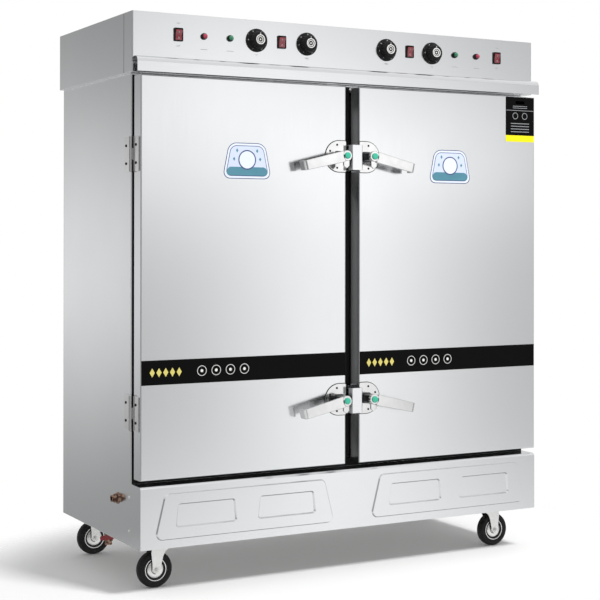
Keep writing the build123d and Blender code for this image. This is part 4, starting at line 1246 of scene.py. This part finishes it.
@dataclass
class SideHinges:
    """Butt hinges on one side: leaves, knuckles, pins and screws."""

    side: Side
    heights: Sequence[float] = (1269.0, 523.0)
    panel: float = 700.0
    wall: float = 3.0
    length: float = 102.0
    barrel_x: float = 706.0
    barrel_y: float = -239.1
    barrel_radius: float = 6.0
    barrel_bore: float = 2.6
    play: float = 0.15
    lap: float = 0.75
    cabinet_leaf: Point = (-227.7, -181.7)
    door_leaf: Point = (-288.5, -250.5)
    cabinet_screw: float = -193.6
    door_screw: float = -268.5
    screw_step: float = 26.0
    base_screw: float = -212.7
    base_screws: Point = (178.0, 275.5)
    screw_size: Point = (4.2, 2.4)
    pin_radius: float = 2.5

    def build(self) -> None:
        """Make the cabinet's leaves, the door's leaves and their screws."""
        word = self.side.word
        door = f"door_{word}"
        sixth, play = self.length / 6, self.play
        fixed, swinging, fixed_screws, door_screws = [], [], [], []
        for height in self.heights:
            low, high = height - self.length / 2, height + self.length / 2
            fixed += [
                self.leaf(self.cabinet_leaf, height),
                self.knuckle(low, height - sixth - play, self.cabinet_leaf[0]),
                self.knuckle(height + sixth + play, high, self.cabinet_leaf[0]),
                self.pin(height),
            ]
            swinging += [
                self.leaf(self.door_leaf, height),
                self.knuckle(height - sixth + play, height + sixth - play, self.door_leaf[1]),
            ]
            for step in (-self.screw_step, self.screw_step):
                fixed_screws.append(self.screw(self.cabinet_screw, height + step, self.wall))
                door_screws.append(self.screw(self.door_screw, height + step, self.wall))
        base_screws = [self.screw(self.base_screw, z, 0.0) for z in self.base_screws]
        for parts, piece, finish, body, slot, nodes in (
            (fixed, "hinge_leaves_cabinet", BUFFED_CASTING, "cabinet", "polished_steel",
             ["hinge_cabinet_leaves"]),
            (fixed_screws, "hinge_screws_cabinet", BLACK_OXIDE_AND_SHADE, "cabinet", "zinc_steel",
             ["cabinet_screws"]),
            (base_screws, "side_screws", ZINC_PLATE, "cabinet", "zinc_steel", []),
            (swinging, "hinge_leaves_door", BUFFED_CASTING, door, "polished_steel",
             [f"hinge_door_leaves_{word}"]),
            (door_screws, "hinge_screws_door", BLACK_OXIDE_AND_SHADE, door, "zinc_steel", []),
        ):
            make_piece(self.placed(parts), f"{piece}_{word}", finish, body, nodes)

    def placed(self, parts: Iterable[Mesh]) -> Mesh:
        """Shapes made for the right side, merged and mirrored for the left."""
        whole = merged(parts)
        return moved(whole, MIRRORED) if self.side is Side.LEFT else whole

    def sheet(self, limits: Point, low: float, high: float, corner: float, edge: float) -> Mesh:
        """A flat sheet against the side.

        Args:
            limits: Its front and back ends.
            low: Its lower end.
            high: Its upper end.
            corner: The radius of its corners.
            edge: The radius of its rims.

        Returns:
            The sheet in its place.
        """
        shape = slab(rectangle(limits[1] - limits[0], high - low), self.wall, corner, edge)
        home = shift(self.panel + self.wall, sum(limits) / 2, (low + high) / 2)
        return moved(shape, rotation(90, "Z"), home)

    def leaf(self, limits: Point, height: float) -> Mesh:
        """A leaf with rounded corners."""
        return self.sheet(limits, height - self.length / 2, height + self.length / 2, 3.0, 0.6)

    def knuckle(self, low: float, high: float, leaf_edge: float) -> Mesh:
        """A rolled knuckle with the strap that joins it to its leaf.

        Args:
            low: The knuckle's lower end.
            high: Its upper end.
            leaf_edge: Where the leaf begins.

        Returns:
            Barrel and strap in their places.
        """
        radius, bore, length = self.barrel_radius, self.barrel_bore, high - low
        barrel = turned([
            (bore, 0), (radius - 0.5, 0), (radius, 0.5), (radius, length - 0.5),
            (radius - 0.5, length), (bore, length),
        ], steps=28, closed=True)
        front, back = sorted((leaf_edge, self.barrel_y))
        strap = self.sheet((front - self.lap, back + self.lap), low, high, 0, 0.4)
        return merged([moved(barrel, shift(self.barrel_x, self.barrel_y, low)), strap])

    def pin(self, height: float) -> Mesh:
        """The pin with a rounded button at each end.

        Args:
            height: The middle of the hinge.

        Returns:
            The pin in its place.
        """
        half = self.length / 2
        button = [(0, half), (4.5, half), (4.5, half + 0.9), (3.6, half + 1.5), (0, half + 1.5)]
        parts = [
            moved(disc(self.pin_radius, self.length, steps=20), shift(0, 0, -half)),
            turned(button, 20), moved(turned(button, 20), rotation(180, "X")),
        ]
        return moved(merged(parts), shift(self.barrel_x, self.barrel_y, height))

    def screw(self, y: float, z: float, seat: float) -> Mesh:
        """A domed screw that faces away from the side."""
        home = shift(self.panel + seat, y, z)
        return moved(cross_screw(*self.screw_size), rotation(90, "Y"), home)


@dataclass
class FrameSeals:
    """Silicone strips on the front frame, which show dark in the gaps round the doors: partly real
    seals, partly painted shade, with the grey web and slate lips toned to the shade between the
    doors.
    """

    front: float = -228.7
    wall: float = 2.2
    edge: float = 0.5
    foot: Point = (316.4, 341.0)
    web_half: float = 14.0
    lip: Point = (14.2, 29.0)
    head: float = 1499.0
    side: Point = (691.5, 699.0)
    joint: float = 0.3
    keepers: Sequence[float] = (530.1, 1274.1)
    keeper_half: float = 41.0

    def build(self) -> None:
        """Make the black strips, the lips between the doors and the web between the lips."""
        black = [self.strip((-self.side[1], self.side[1]), self.foot)]
        lips, webs = [], []
        low = self.foot[1]
        for high in (*(z - self.keeper_half for z in self.keepers), self.head):
            upright = (low + self.joint, high)
            webs.append(self.strip((-self.web_half, self.web_half), upright))
            lips += [self.strip(self.mirrored(side, self.lip), upright) for side in Side]
            low = high + 2 * self.keeper_half
        upright = (self.foot[1] + self.joint, self.head)
        black += [self.strip(self.mirrored(side, self.side), upright) for side in Side]
        # The black strips are partly painted shade in the gaps; the grey web and slate lips are
        # painted shade in the gap between the doors.
        for parts, piece, finish in (
            (black, "frame_seals", BLACK_SILICONE_AND_SHADE), (lips, "centre_seal_lips", SHADE_SLATE_SILICONE),
            (webs, "centre_seal_webs", SHADE_GREY_SILICONE),
        ):
            make_piece(merged(parts), piece, finish, "cabinet")

    def mirrored(self, side: Side, limits: Point) -> Point:
        """Limits in X for one side, the lower one first."""
        low, high = sorted(side.value * x for x in limits)
        return low, high

    def strip(self, across: Point, upright: Point) -> Mesh:
        """One strip with rounded rims.

        Args:
            across: Its limits in X.
            upright: Its limits in Z.

        Returns:
            The strip on the frame's front.
        """
        outline = rectangle(across[1] - across[0], upright[1] - upright[0])
        home = shift(sum(across) / 2, self.front - self.wall, sum(upright) / 2)
        return moved(slab(outline, self.wall, edge=self.edge), home)


# Films and badges on the doors


@dataclass
class DoorFilms:
    """Printed films on one door: the black band, the blue badge and, on the right, a plate."""

    side: Side
    face: float = -298.9
    thickness: float = 0.3
    ink: float = 0.2
    layer_step: float = 0.15
    inner_edge: float = 25.5
    outer_edge: float = 698.5
    band: Point = (606.0, 677.0)
    lozenge: Point = (8.0, 13.0)
    lozenges: tuple[float, float, int] = (34.0, 21.0, 5)
    band_ring: Point = (15.0, 13.4)
    band_dot: float = 4.5
    band_rings: tuple[float, float, int] = (190.0, 46.0, 4)
    badge_x: float = 362.5
    badge_low: float = 1202.0
    badge_height: float = 106.6
    badge_foot: float = 162.0
    badge_top: float = 119.0
    badge_middle: float = 0.53
    badge_water: float = 0.33
    badge_disc: float = 27.0
    badge_ring: Point = (29.0, 25.6)
    badge_spot: Point = (4.0, 6.0)
    badge_spots: Sequence[Point] = ((-43, 2), (43, 2), (-33, 27), (33, 27))
    plate_x: Point = (583.0, 698.5)
    plate_z: Point = (1344.0, 1491.0)
    plate_strip: float = 21.0
    plate_heading: tuple[float, float, float] = (36.0, 10.0, 18.0)
    plate_rules: Sequence[Point] = ((111.5, 44.0), (58.0, 30.0), (58.0, 36.0))
    plate_rule: float = 1.6
    plate_lines: tuple[float, float, float] = (74.0, 2.2, 9.0)
    plate_first_line: float = 12.0
    plate_ring: Point = (11.0, 9.2)
    plate_ring_at: Point = (19.0, 62.0)

    def build(self) -> None:
        """Make each film and the print on it."""
        self.make_band()
        self.make_badge()
        if self.side is Side.RIGHT:
            self.make_plate()

    def film(self, parts: Iterable[Mesh], name: str, finish: Finish, layer: int = 0) -> None:
        """Lay flat shapes on the door.

        Args:
            parts: Shapes drawn for this door, with their fronts at Y 0.
            name: The piece's name without its side.
            finish: The film's finish.
            layer: How many films lie under this one.
        """
        y = self.face - self.thickness - self.layer_step * layer
        make_piece(moved(merged(parts), shift(0, y, 0)), f"{name}_{self.side.word}", finish,
                   f"door_{self.side.word}")

    def bar(self, width: float, height: float, x: float, z: float) -> Mesh:
        """A plain printed bar."""
        return moved(slab(rectangle(width, height), self.ink), shift(x, 0, z))

    def diamond(self, half: Point, x: float, z: float) -> Mesh:
        """A printed lozenge with half its width and height given."""
        outline = [(-half[0], 0), (0, -half[1]), (half[0], 0), (0, half[1])]
        return moved(slab(outline, self.ink), shift(x, 0, z))

    def circle(self, flat: Mesh, depth: float, x: float, z: float) -> Mesh:
        """A round shape that stood on Z 0, laid with its back at a depth."""
        return moved(flat, TOWARDS_VIEWER, shift(x, depth, z))

    def sticker(self, width: float, height: float, x: float, z: float) -> Mesh:
        """A rectangle of film with fine rims."""
        return moved(slab(rectangle(width, height), self.thickness, edge=0.1), shift(x, 0, z))

    def make_band(self) -> None:
        """The black band with a quiet row of rings and lozenges."""
        low, high = self.band
        middle = (low + high) / 2
        width = self.outer_edge - self.inner_edge
        centre = self.side.value * (self.inner_edge + self.outer_edge) / 2
        self.film([self.sticker(width, high - low, centre, middle)], "door_band", BLACK_FILM)
        start = centre - width / 2
        first, step, count = self.lozenges
        row = [self.diamond(self.lozenge, start + first + step * i, middle) for i in range(count)]
        self.film(row, "door_band_lozenges", STRAW_FILM, 1)
        first, step, count = self.band_rings
        places = [start + first + step * i for i in range(count)]
        rings = [self.circle(ring(*self.band_ring, self.ink), self.ink, x, middle) for x in places]
        dots = [self.circle(disc(self.band_dot, self.ink, 20), self.ink, x, middle) for x in places]
        self.film(rings + dots, "door_band_rings", WHITE_INK, 1)

    def trapezoid(self, inset: float, corner: float, high: float = 1.0) -> Mesh:
        """The badge's outline taken in by an inset, up to a share of its height.

        Args:
            inset: How far the outline is taken in.
            corner: The radius of its corners.
            high: The share of the height at which it ends.

        Returns:
            The shape in its place.
        """
        lean = (self.badge_foot - self.badge_top) / 2 / self.badge_height
        z_high = min(self.badge_height - inset, self.badge_height * high)
        half_low, half_high = (self.badge_foot / 2 - lean * z - inset for z in (inset, z_high))
        outline = [(-half_low, inset), (half_low, inset), (half_high, z_high),
                   (-half_high, z_high)]
        return moved(slab(outline, self.thickness, corner),
                     shift(self.side.value * self.badge_x, 0, self.badge_low))

    def make_badge(self) -> None:
        """The badge: two dark outlines on pale blue, a ring, a lagoon foot and lozenges."""
        x = self.side.value * self.badge_x
        z = self.badge_low + self.badge_height * self.badge_middle
        for layer, (name, inset, corner, finish) in enumerate((
            ("rim", 0, 24, INDIGO_FILM), ("edge", 2.2, 22, ICE_FILM),
            ("line", 8.0, 18, INDIGO_FILM), ("field", 10.0, 16.5, PALE_FILM),
        )):
            self.film([self.trapezoid(inset, corner)], f"badge_{name}", finish, layer)
        self.film([self.trapezoid(10.0, 11, self.badge_water)], "badge_foot", LAGOON_FILM, 4)
        for layer, name, flat, finish in (
            (5, "disc", disc(self.badge_disc, self.thickness, 56), ICE_FILM),
            (6, "ring", ring(*self.badge_ring, self.thickness, 56), INDIGO_FILM),
        ):
            self.film([self.circle(flat, self.thickness, x, z)], f"badge_{name}", finish, layer)
        spots = [self.diamond(self.badge_spot, x + step, z + rise)
                 for step, rise in self.badge_spots]
        self.film(spots, "badge_spots", LAGOON_FILM, 4)

    def make_plate(self) -> None:
        """The black plate by the top corner, with a heading, rules, rings and a yellow foot."""
        (left, right), (low, high) = self.plate_x, self.plate_z
        middle, width = (left + right) / 2, right - left
        strip = self.plate_strip
        body = self.sticker(width, high - low - strip, middle, (low + strip + high) / 2)
        self.film([body], "plate_black", BLACK_FILM)
        foot = self.sticker(width, strip, middle, low + strip / 2)
        wide, tall, drop = self.plate_heading
        heading = moved(slab(rectangle(wide, tall), self.ink, corner=1.5),
                        shift(middle, 0, high - drop))
        self.film([foot, heading], "plate_foot", YELLOW_FILM)
        marks = [self.bar(wide, self.plate_rule, middle, high - drop)
                 for wide, drop in self.plate_rules]
        wide, tall, step = self.plate_lines
        first = low + strip + self.plate_first_line
        marks += [self.bar(wide, tall, middle, first + step * i) for i in range(4)]
        aside, drop = self.plate_ring_at
        marks += [
            self.circle(ring(*self.plate_ring, self.ink, 28), self.ink, middle + x, high - drop)
            for x in (-aside, aside)
        ]
        self.film(marks, "plate_marks", GREY_INK, 1)


# Casters


@dataclass
class Caster:
    """One swivel caster: plate, races, fork, axle bolt, pressed rim and tyre."""

    name: str
    trail: float = 32.0
    axle_z: float = 54.0
    wheel_radius: float = 54.0
    wheel_width: float = 30.0
    rim_radius: float = 34.5
    cover_radius: float = 26.0
    fork_inside: float = 17.5
    fork_wall: float = 2.5
    crown_low: float = 116.7
    crown: float = 3.0
    race_radius: float = 26.0
    race_bore: float = 6.1
    cabinet_low: float = 136.0
    plate_size: Point = (95.0, 67.0)
    plate_wall: float = 4.0
    bolts: Point = (37.5, 23.5)
    crown_ends: Point = (-24.0, 15.0)

    def build(self) -> None:
        """Make the wheel, the fork and the fixed plate."""
        side = -1 if self.name.endswith("left") else 1
        x, y, _ = node_middle(f"caster_tyre_{self.name}")
        wheel = f"caster_wheel_{self.name}"
        fork = f"caster_fork_{self.name}"
        for shape, part, finish, slot, nodes in (
            (self.tyre(), "tyre", TYRE_RUBBER, "black_rubber", [f"caster_tyre_{self.name}"]),
            (self.rim(), "rim", ZINC_PLATE, "zinc_steel", [f"caster_rim_{self.name}"]),
            # The groove rings are dark discs of painted shade in the rim's grooves.
            (self.groove_shade(), "groove_shade", BLACK_OXIDE_AND_SHADE, "zinc_steel", []),
        ):
            make_piece(moved(shape, TOWARDS_VIEWER, shift(x, y, self.axle_z)),
                       f"{wheel}_{part}", finish, wheel, nodes)
        kingpin = shift(x - side * self.trail, y, 0)
        flip = [MIRRORED] if side < 0 else []
        make_piece(moved(self.fork(), *flip, kingpin), f"{fork}_pressing", ZINC_PLATE, fork,
                   [fork])
        make_piece(moved(self.plate(), kingpin), f"caster_plate_{self.name}", ZINC_PLATE,
                   "cabinet", ["caster_plates"])

    def tyre(self) -> Mesh:
        """A solid tyre with round shoulders, a tread line and a moulded step in each side.

        Returns:
            The tyre round Z.
        """
        outer, inner, half = self.wheel_radius, self.rim_radius + 0.1, self.wheel_width / 2
        upper = [
            (inner, half - 1.2), (inner + 0.8, half - 0.3), (inner + 4.5, half),
            (inner + 5.2, half - 0.7), (inner + 8.0, half - 0.7), (outer - 7.6, half - 0.5),
            (outer - 4.0, half - 2.2), (outer - 1.4, half - 5.0), (outer - 0.2, half - 8.6),
            (outer, half - 11.0), (outer, 0.5), (outer - 0.5, 0.0),
        ]
        lower = [(radius, -height) for radius, height in reversed(upper[:-1])]
        return turned(upper + lower, 64, True)

    def rim(self) -> Mesh:
        """The pressed rim: bright lip, deep groove, domed cover and hub.

        Returns:
            The rim round Z.
        """
        half, lip, cover = self.wheel_width / 2, self.rim_radius, self.cover_radius
        upper = [
            (4.1, half + 2.2), (8.6, half + 2.2), (9.6, half + 1.4), (10.2, half - 2.0),
            (12.5, half - 3.6), (18.0, half - 3.9), (cover - 3.5, half - 4.4),
            (cover - 1.0, half - 5.6), (cover, half - 8.0), (cover, half - 10.0),
            (lip - 3.4, half - 10.0), (lip - 3.4, half - 2.6), (lip - 2.6, half - 1.9),
            (lip - 0.8, half - 1.9), (lip, half - 2.6),
        ]
        lower = [(radius, -height) for radius, height in reversed(upper)]
        return turned(upper + lower, 56, True)

    def groove_shade(self) -> Mesh:
        """Dark rings on the floors of the grooves round the cover and round the hub, as painted
        shade in the grooves.

        Returns:
            The four rings of painted shade round Z.
        """
        half, lip, cover = self.wheel_width / 2, self.rim_radius, self.cover_radius
        shade_rings = []
        for degrees in (0, 180):
            flip = rotation(degrees, "X")
            outer = moved(ring(lip - 3.5, cover + 0.1, 0.4, 56), shift(0, 0, half - 7.0), flip)
            inner = moved(ring(13.6, 10.2, 0.5), shift(0, 0, half - 3.6), flip)
            shade_rings += [outer, inner]
        return merged(shade_rings)

    def fork(self) -> Mesh:
        """Two legs under a crown with its race, and the axle bolt with its nuts.

        Returns:
            The fork, trailing along X from a kingpin on Z.
        """
        top, trail, axle = self.crown_low, self.trail, self.axle_z
        outside = self.fork_inside + self.fork_wall
        leg = [
            (-22.0, top - 1.0), (-6.0, top - 3.0), (4.0, top - 10.0), (11.0, top - 24.0),
            (trail - 15.0, axle + 14.0), (trail - 12.5, axle), (trail - 8.5, axle - 8.5),
            (trail, axle - 12.0), (trail + 8.5, axle - 8.5), (trail + 12.0, axle),
            (trail + 13.5, axle + 22.0), (trail + 17.0, top - 12.0), (trail + 15.0, top - 1.0),
        ]
        parts = [moved(slab(leg, self.fork_wall, edge=0.6), shift(0, y, 0))
                 for y in (-outside, self.fork_inside)]
        start, end = self.crown_ends[0], trail + self.crown_ends[1]
        crown = bmesh.new()
        bmesh.ops.create_cube(crown, size=1)
        crown = moved(
            crown, Matrix.Diagonal((end - start, 2 * outside, self.crown, 1)),
            shift((start + end) / 2, 0, top - self.crown / 2 + 0.9),
        )
        bore, radius = self.race_bore, self.race_radius - 2
        race = turned([
            (bore, 0), (radius - 3, 0), (radius, 2.0), (radius, 4.8), (radius - 1.2, 6.0),
            (bore, 6.0),
        ], steps=40, closed=True)
        parts += [rounded(crown, 1.4, segments=3), moved(race, shift(0, 0, top - 0.3))]
        for turn in (-1, 1):
            stub = turned([(0, 0), (3.4, 0), (3.4, 1.6), (2.6, 2.2), (0, 2.2)], steps=20)
            head = merged([disc(8.4, 0.9, steps=28), hexagon(13.0, 5.0, edge=0.6),
                           moved(stub, shift(0, 0, 5))])
            parts.append(moved(head, rotation(90 * turn, "X"), shift(trail, -turn * outside, axle)))
        return merged(parts)

    def plate(self) -> Mesh:
        """The bolted top plate with the upper race and the kingpin's nut.

        Returns:
            The plate round a kingpin on Z.
        """
        top, radius = self.cabinet_low, self.race_radius
        face = slab(rectangle(*self.plate_size), self.plate_wall, corner=6.0, edge=0.7)
        race = turned([
            (0, 0), (radius - 2.5, 0), (radius, 1.8), (radius, 4.6), (radius - 1.6, 6.2),
            (0, 6.2),
        ], steps=40)
        parts = [moved(face, TOWARDS_VIEWER, shift(0, 0, top - self.plate_wall)),
                 moved(race, shift(0, 0, top - 10.0))]
        across, deep = self.bolts
        for x in (-across, across):
            for y in (-deep, deep):
                parts.append(moved(hexagon(11.5, 4.5, edge=0.5), shift(x, y, top - 8.5)))
        parts += [moved(disc(6.0, 14.0, steps=24), shift(0, 0, top - 24.0)),
                  moved(hexagon(20.0, 3.0, edge=0.5),
                        shift(0, 0, self.crown_low - self.crown - 3.3))]
        return merged(parts)


# The studio


@dataclass(frozen=True)
class Glow:
    """A soft patch of light, as a mirror would show it."""

    axis: tuple[float, float, float]
    sharpness: float
    gain: float
    flatness: float = 1.0

    def strength(
        self, tree: bpy.types.NodeTree, way: bpy.types.NodeSocket
    ) -> bpy.types.NodeSocket:
        """The patch's strength in a direction.

        Args:
            tree: The world's tree.
            way: The direction of the ray.

        Returns:
            A socket with the strength.
        """
        flat = Vector((1.0, 1.0, self.flatness))
        squashed = add_node(tree, "ShaderNodeVectorMath", {"operation": "MULTIPLY", 1: flat},
                            {0: way}).outputs[0]
        unit = add_node(tree, "ShaderNodeVectorMath", {"operation": "NORMALIZE"},
                        {0: squashed}).outputs[0]
        facing = add_node(
            tree, "ShaderNodeVectorMath",
            {"operation": "DOT_PRODUCT", 1: (Vector(self.axis) * flat).normalized()}, {0: unit},
        ).outputs["Value"]
        shown = add_node(tree, "ShaderNodeMath", {"operation": "MAXIMUM", 1: 0.0},
                         {0: facing}).outputs[0]
        focused = add_node(tree, "ShaderNodeMath", {"operation": "POWER", 1: self.sharpness},
                           {0: shown}).outputs[0]
        return add_node(tree, "ShaderNodeMath", {"operation": "MULTIPLY", 1: self.gain},
                        {0: focused}).outputs[0]


@dataclass
class Studio:
    """Camera, soft light, white surroundings and a pale floor, with places in metres."""

    camera_at: tuple[float, float, float] = (-2.2581, -4.0983, 1.0315)
    yaw: float = -28.631
    pitch: float = 0.217
    roll: float = -0.059
    picture: float = 600.0
    focal_px: float = 1434.587
    principal_y: float = 231.18
    sensor_mm: float = 36.0
    floor_radius: float = 4.0
    floor_shape: tuple[float, float, float] = (1.0, 1.4, 1.0)
    floor_fade: Point = (0.85, 1.3)
    floor_mirrored: float = 0.2
    floor_glow: float = 0.03
    floor_colour: str = "#f2f2f2"
    plain_level: float = 0.60
    key_at: tuple[float, float, float] = (1.2, -3.9, 5.4)
    key_size: Point = (1.3, 1.3)
    key_watts: float = 320.0
    key_aim: tuple[float, float, float] = (0.0, 0.0, 0.8)
    blend: float = 0.15
    room_level: float = 0.20
    bright_heights: ClassVar[Sequence[tuple[float, float, float]]] = (
        (-0.21, -0.27, 0.60), (-0.50, -0.70, -0.50), (0.17, 0.30, 0.40),
    )
    room_glows: ClassVar[Sequence[Glow]] = (
        Glow((0.45, -0.89, 0.0), 6.0, 0.28),
        Glow((0.0, 0.0, 1.0), 2.0, 0.40),
        Glow((1.0, 0.1, 0.0), 4.0, 0.35),
        Glow((0.5, 0.85, 0.0), 5.0, 0.35),
        Glow((-0.80, -0.58, -0.10), 14.0, 0.32),
    )
    soft_boxes: ClassVar[Sequence[Glow]] = (
        Glow((0.503, -0.862, -0.066), 372.0, 0.92, 0.28),
        Glow((0.425, -0.901, 0.091), 105.0, 1.00, 1.67),
        Glow((0.502, -0.844, -0.192), 600.0, 0.74, 17.7),
        Glow((0.516, -0.855, 0.056), 149.0, 1.30, 2.57),
        Glow((-0.34, 0.94, -0.02), 129.0, 0.77),
    )

    def build(self) -> None:
        """Make everything that isn't part of the cabinet."""
        self.make_camera()
        self.make_world()
        self.make_floor()
        self.make_lamp()
        bpy.context.scene.view_settings.view_transform = "Standard"

    def make_camera(self) -> None:
        """The photograph's camera, with the lens moved as in its framing."""
        data = bpy.data.cameras.new("camera")
        data.sensor_width = self.sensor_mm
        data.lens = self.focal_px * self.sensor_mm / self.picture
        data.shift_y = (self.principal_y - self.picture / 2) / self.picture
        data.clip_end = 100.0
        camera = bpy.data.objects.new("camera", data)
        camera.location = self.camera_at
        camera.rotation_euler = (
            math.radians(90 + self.pitch), math.radians(self.roll), math.radians(self.yaw)
        )
        bpy.context.scene.collection.objects.link(camera)
        bpy.context.scene.camera = camera

    def make_world(self) -> None:
        """White where the camera looks, and a soft studio where metal mirrors it."""
        world = bpy.data.worlds.new("studio")
        bpy.context.scene.world = world
        world.use_nodes = True
        tree = world.node_tree
        tree.nodes.clear()
        way = add_node(tree, "ShaderNodeTexCoord").outputs["Generated"]
        level = self.studio_level(tree, way)
        path = add_node(tree, "ShaderNodeLightPath").outputs
        seen = add_node(
            tree, "ShaderNodeBackground", {"Color": (1, 1, 1, 1), "Strength": 1.0}
        ).outputs[0]
        mirrored = add_node(tree, "ShaderNodeBackground", {"Color": (1, 1, 1, 1)},
                            {"Strength": level}).outputs[0]
        lit = add_node(
            tree, "ShaderNodeBackground", {"Color": (1, 1, 1, 1), "Strength": self.plain_level}
        ).outputs[0]
        shiny = add_node(
            tree, "ShaderNodeMath", {"operation": "MAXIMUM"},
            {0: path["Is Glossy Ray"], 1: path["Is Transmission Ray"]},
        ).outputs[0]
        both = add_node(tree, "ShaderNodeMixShader", {}, {0: shiny, 1: lit, 2: mirrored}).outputs[0]
        final = add_node(
            tree, "ShaderNodeMixShader", {}, {0: path["Is Camera Ray"], 1: both, 2: seen}
        ).outputs[0]
        add_node(tree, "ShaderNodeOutputWorld", {}, {"Surface": final})

    def studio_level(
        self, tree: bpy.types.NodeTree, way: bpy.types.NodeSocket
    ) -> bpy.types.NodeSocket:
        """How bright the studio is in each direction: soft boxes between a floor and a ceiling.

        Args:
            tree: The world's tree.
            way: The direction of the ray.

        Returns:
            A socket with the strength.
        """
        room = boxes = None
        for glow in self.room_glows:
            links = {1: glow.strength(tree, way)} | ({0: room} if room else {})
            room = add_node(tree, "ShaderNodeMath", {"operation": "ADD", 0: self.room_level},
                            links).outputs[0]
        for box in self.soft_boxes:
            links = {1: box.strength(tree, way)} | ({0: boxes} if boxes else {})
            boxes = add_node(tree, "ShaderNodeMath",
                             {"operation": "SMOOTH_MAX", 0: 0.0, 2: self.blend}, links).outputs[0]
        level = add_node(tree, "ShaderNodeMath", {"operation": "ADD"},
                         {0: room, 1: boxes}).outputs[0]
        height = add_node(tree, "ShaderNodeSeparateXYZ", {}, {0: way}).outputs["Z"]
        for start, end, gain in self.bright_heights:
            part = add_node(
                tree, "ShaderNodeMapRange",
                {"interpolation_type": "SMOOTHSTEP", "From Min": start, "From Max": end,
                 "To Max": gain},
                {"Value": height},
            ).outputs["Result"]
            level = add_node(tree, "ShaderNodeMath", {"operation": "ADD"},
                             {0: level, 1: part}).outputs[0]
        return level

    def make_floor(self) -> None:
        """A pale round floor that fades into the white and is faint where metal mirrors it."""
        bm = bmesh.new()
        bmesh.ops.create_circle(bm, cap_ends=True, segments=64, radius=self.floor_radius)
        mesh = bpy.data.meshes.new("floor")
        bm.to_mesh(mesh)
        bm.free()
        floor = bpy.data.objects.new("floor", mesh)
        bpy.context.scene.collection.objects.link(floor)
        paint = bpy.data.materials.new("floor_pale_vinyl")
        paint.use_nodes = True
        tree = paint.node_tree
        tree.nodes.clear()
        place = add_node(tree, "ShaderNodeTexCoord").outputs["Object"]
        oval = add_node(tree, "ShaderNodeVectorMath",
                        {"operation": "MULTIPLY", 1: self.floor_shape}, {0: place}).outputs[0]
        far = add_node(tree, "ShaderNodeVectorMath", {"operation": "LENGTH"}, {0: oval})
        start, end = self.floor_fade
        fade = add_node(
            tree, "ShaderNodeMapRange",
            {"interpolation_type": "SMOOTHSTEP", "From Min": start, "From Max": end},
            {"Value": far.outputs["Value"]},
        ).outputs["Result"]
        mirrored = add_node(tree, "ShaderNodeLightPath").outputs["Is Glossy Ray"]
        hidden = add_node(tree, "ShaderNodeMath",
                          {"operation": "MULTIPLY", 1: 1.0 - self.floor_mirrored},
                          {0: mirrored}).outputs[0]
        fade = add_node(tree, "ShaderNodeMath", {"operation": "MAXIMUM"},
                        {0: fade, 1: hidden}).outputs[0]
        vinyl = add_node(tree, "ShaderNodeBsdfDiffuse",
                         {"Color": linear(self.floor_colour)}).outputs[0]
        glow = add_node(tree, "ShaderNodeEmission", {"Strength": self.floor_glow}).outputs[0]
        pale = add_node(tree, "ShaderNodeAddShader", {}, {0: vinyl, 1: glow}).outputs[0]
        clear = add_node(tree, "ShaderNodeBsdfTransparent").outputs[0]
        mixed = add_node(tree, "ShaderNodeMixShader", {}, {0: fade, 1: pale, 2: clear}).outputs[0]
        add_node(tree, "ShaderNodeOutputMaterial", {}, {"Surface": mixed})
        mesh.materials.append(paint)

    def make_lamp(self) -> None:
        """A large soft lamp that faces the cabinet and isn't mirrored in it."""
        data = bpy.data.lights.new("soft_key", "AREA")
        data.shape = "RECTANGLE"
        data.size, data.size_y = self.key_size
        data.energy = self.key_watts
        lamp = bpy.data.objects.new("soft_key", data)
        lamp.location = self.key_at
        aim = Vector(self.key_aim) - Vector(self.key_at)
        lamp.rotation_euler = aim.to_track_quat("-Z", "Y").to_euler()
        lamp.visible_glossy = False
        bpy.context.scene.collection.objects.link(lamp)


def main() -> None:
    """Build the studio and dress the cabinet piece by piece."""
    logging.basicConfig(level=logging.INFO, format="%(message)s")
    Studio().build()
    CarriedNodes().dress()
    minutes = ("0", "20", "40", "60", "80", "100", "120")
    degrees = ("0", "30", "60", "90", "120", "150")
    for side in Side:
        DialKnob("outer", side, degrees).build()
        DialKnob("inner", side, minutes).build()
        for level, height in (("upper", 1277.5), ("lower", 533.5)):
            CrossLatch(level, side, height).build()
        SideHinges(side).build()
        DoorFilms(side).build()
    FrameSeals().build()
    RockerSwitches().build()
    SignalLamps().build()
    HeadTrim().build()
    for name in ("front_left", "front_right", "back_left", "back_right"):
        Caster(name).build()


if __name__ == "__main__":
    main()
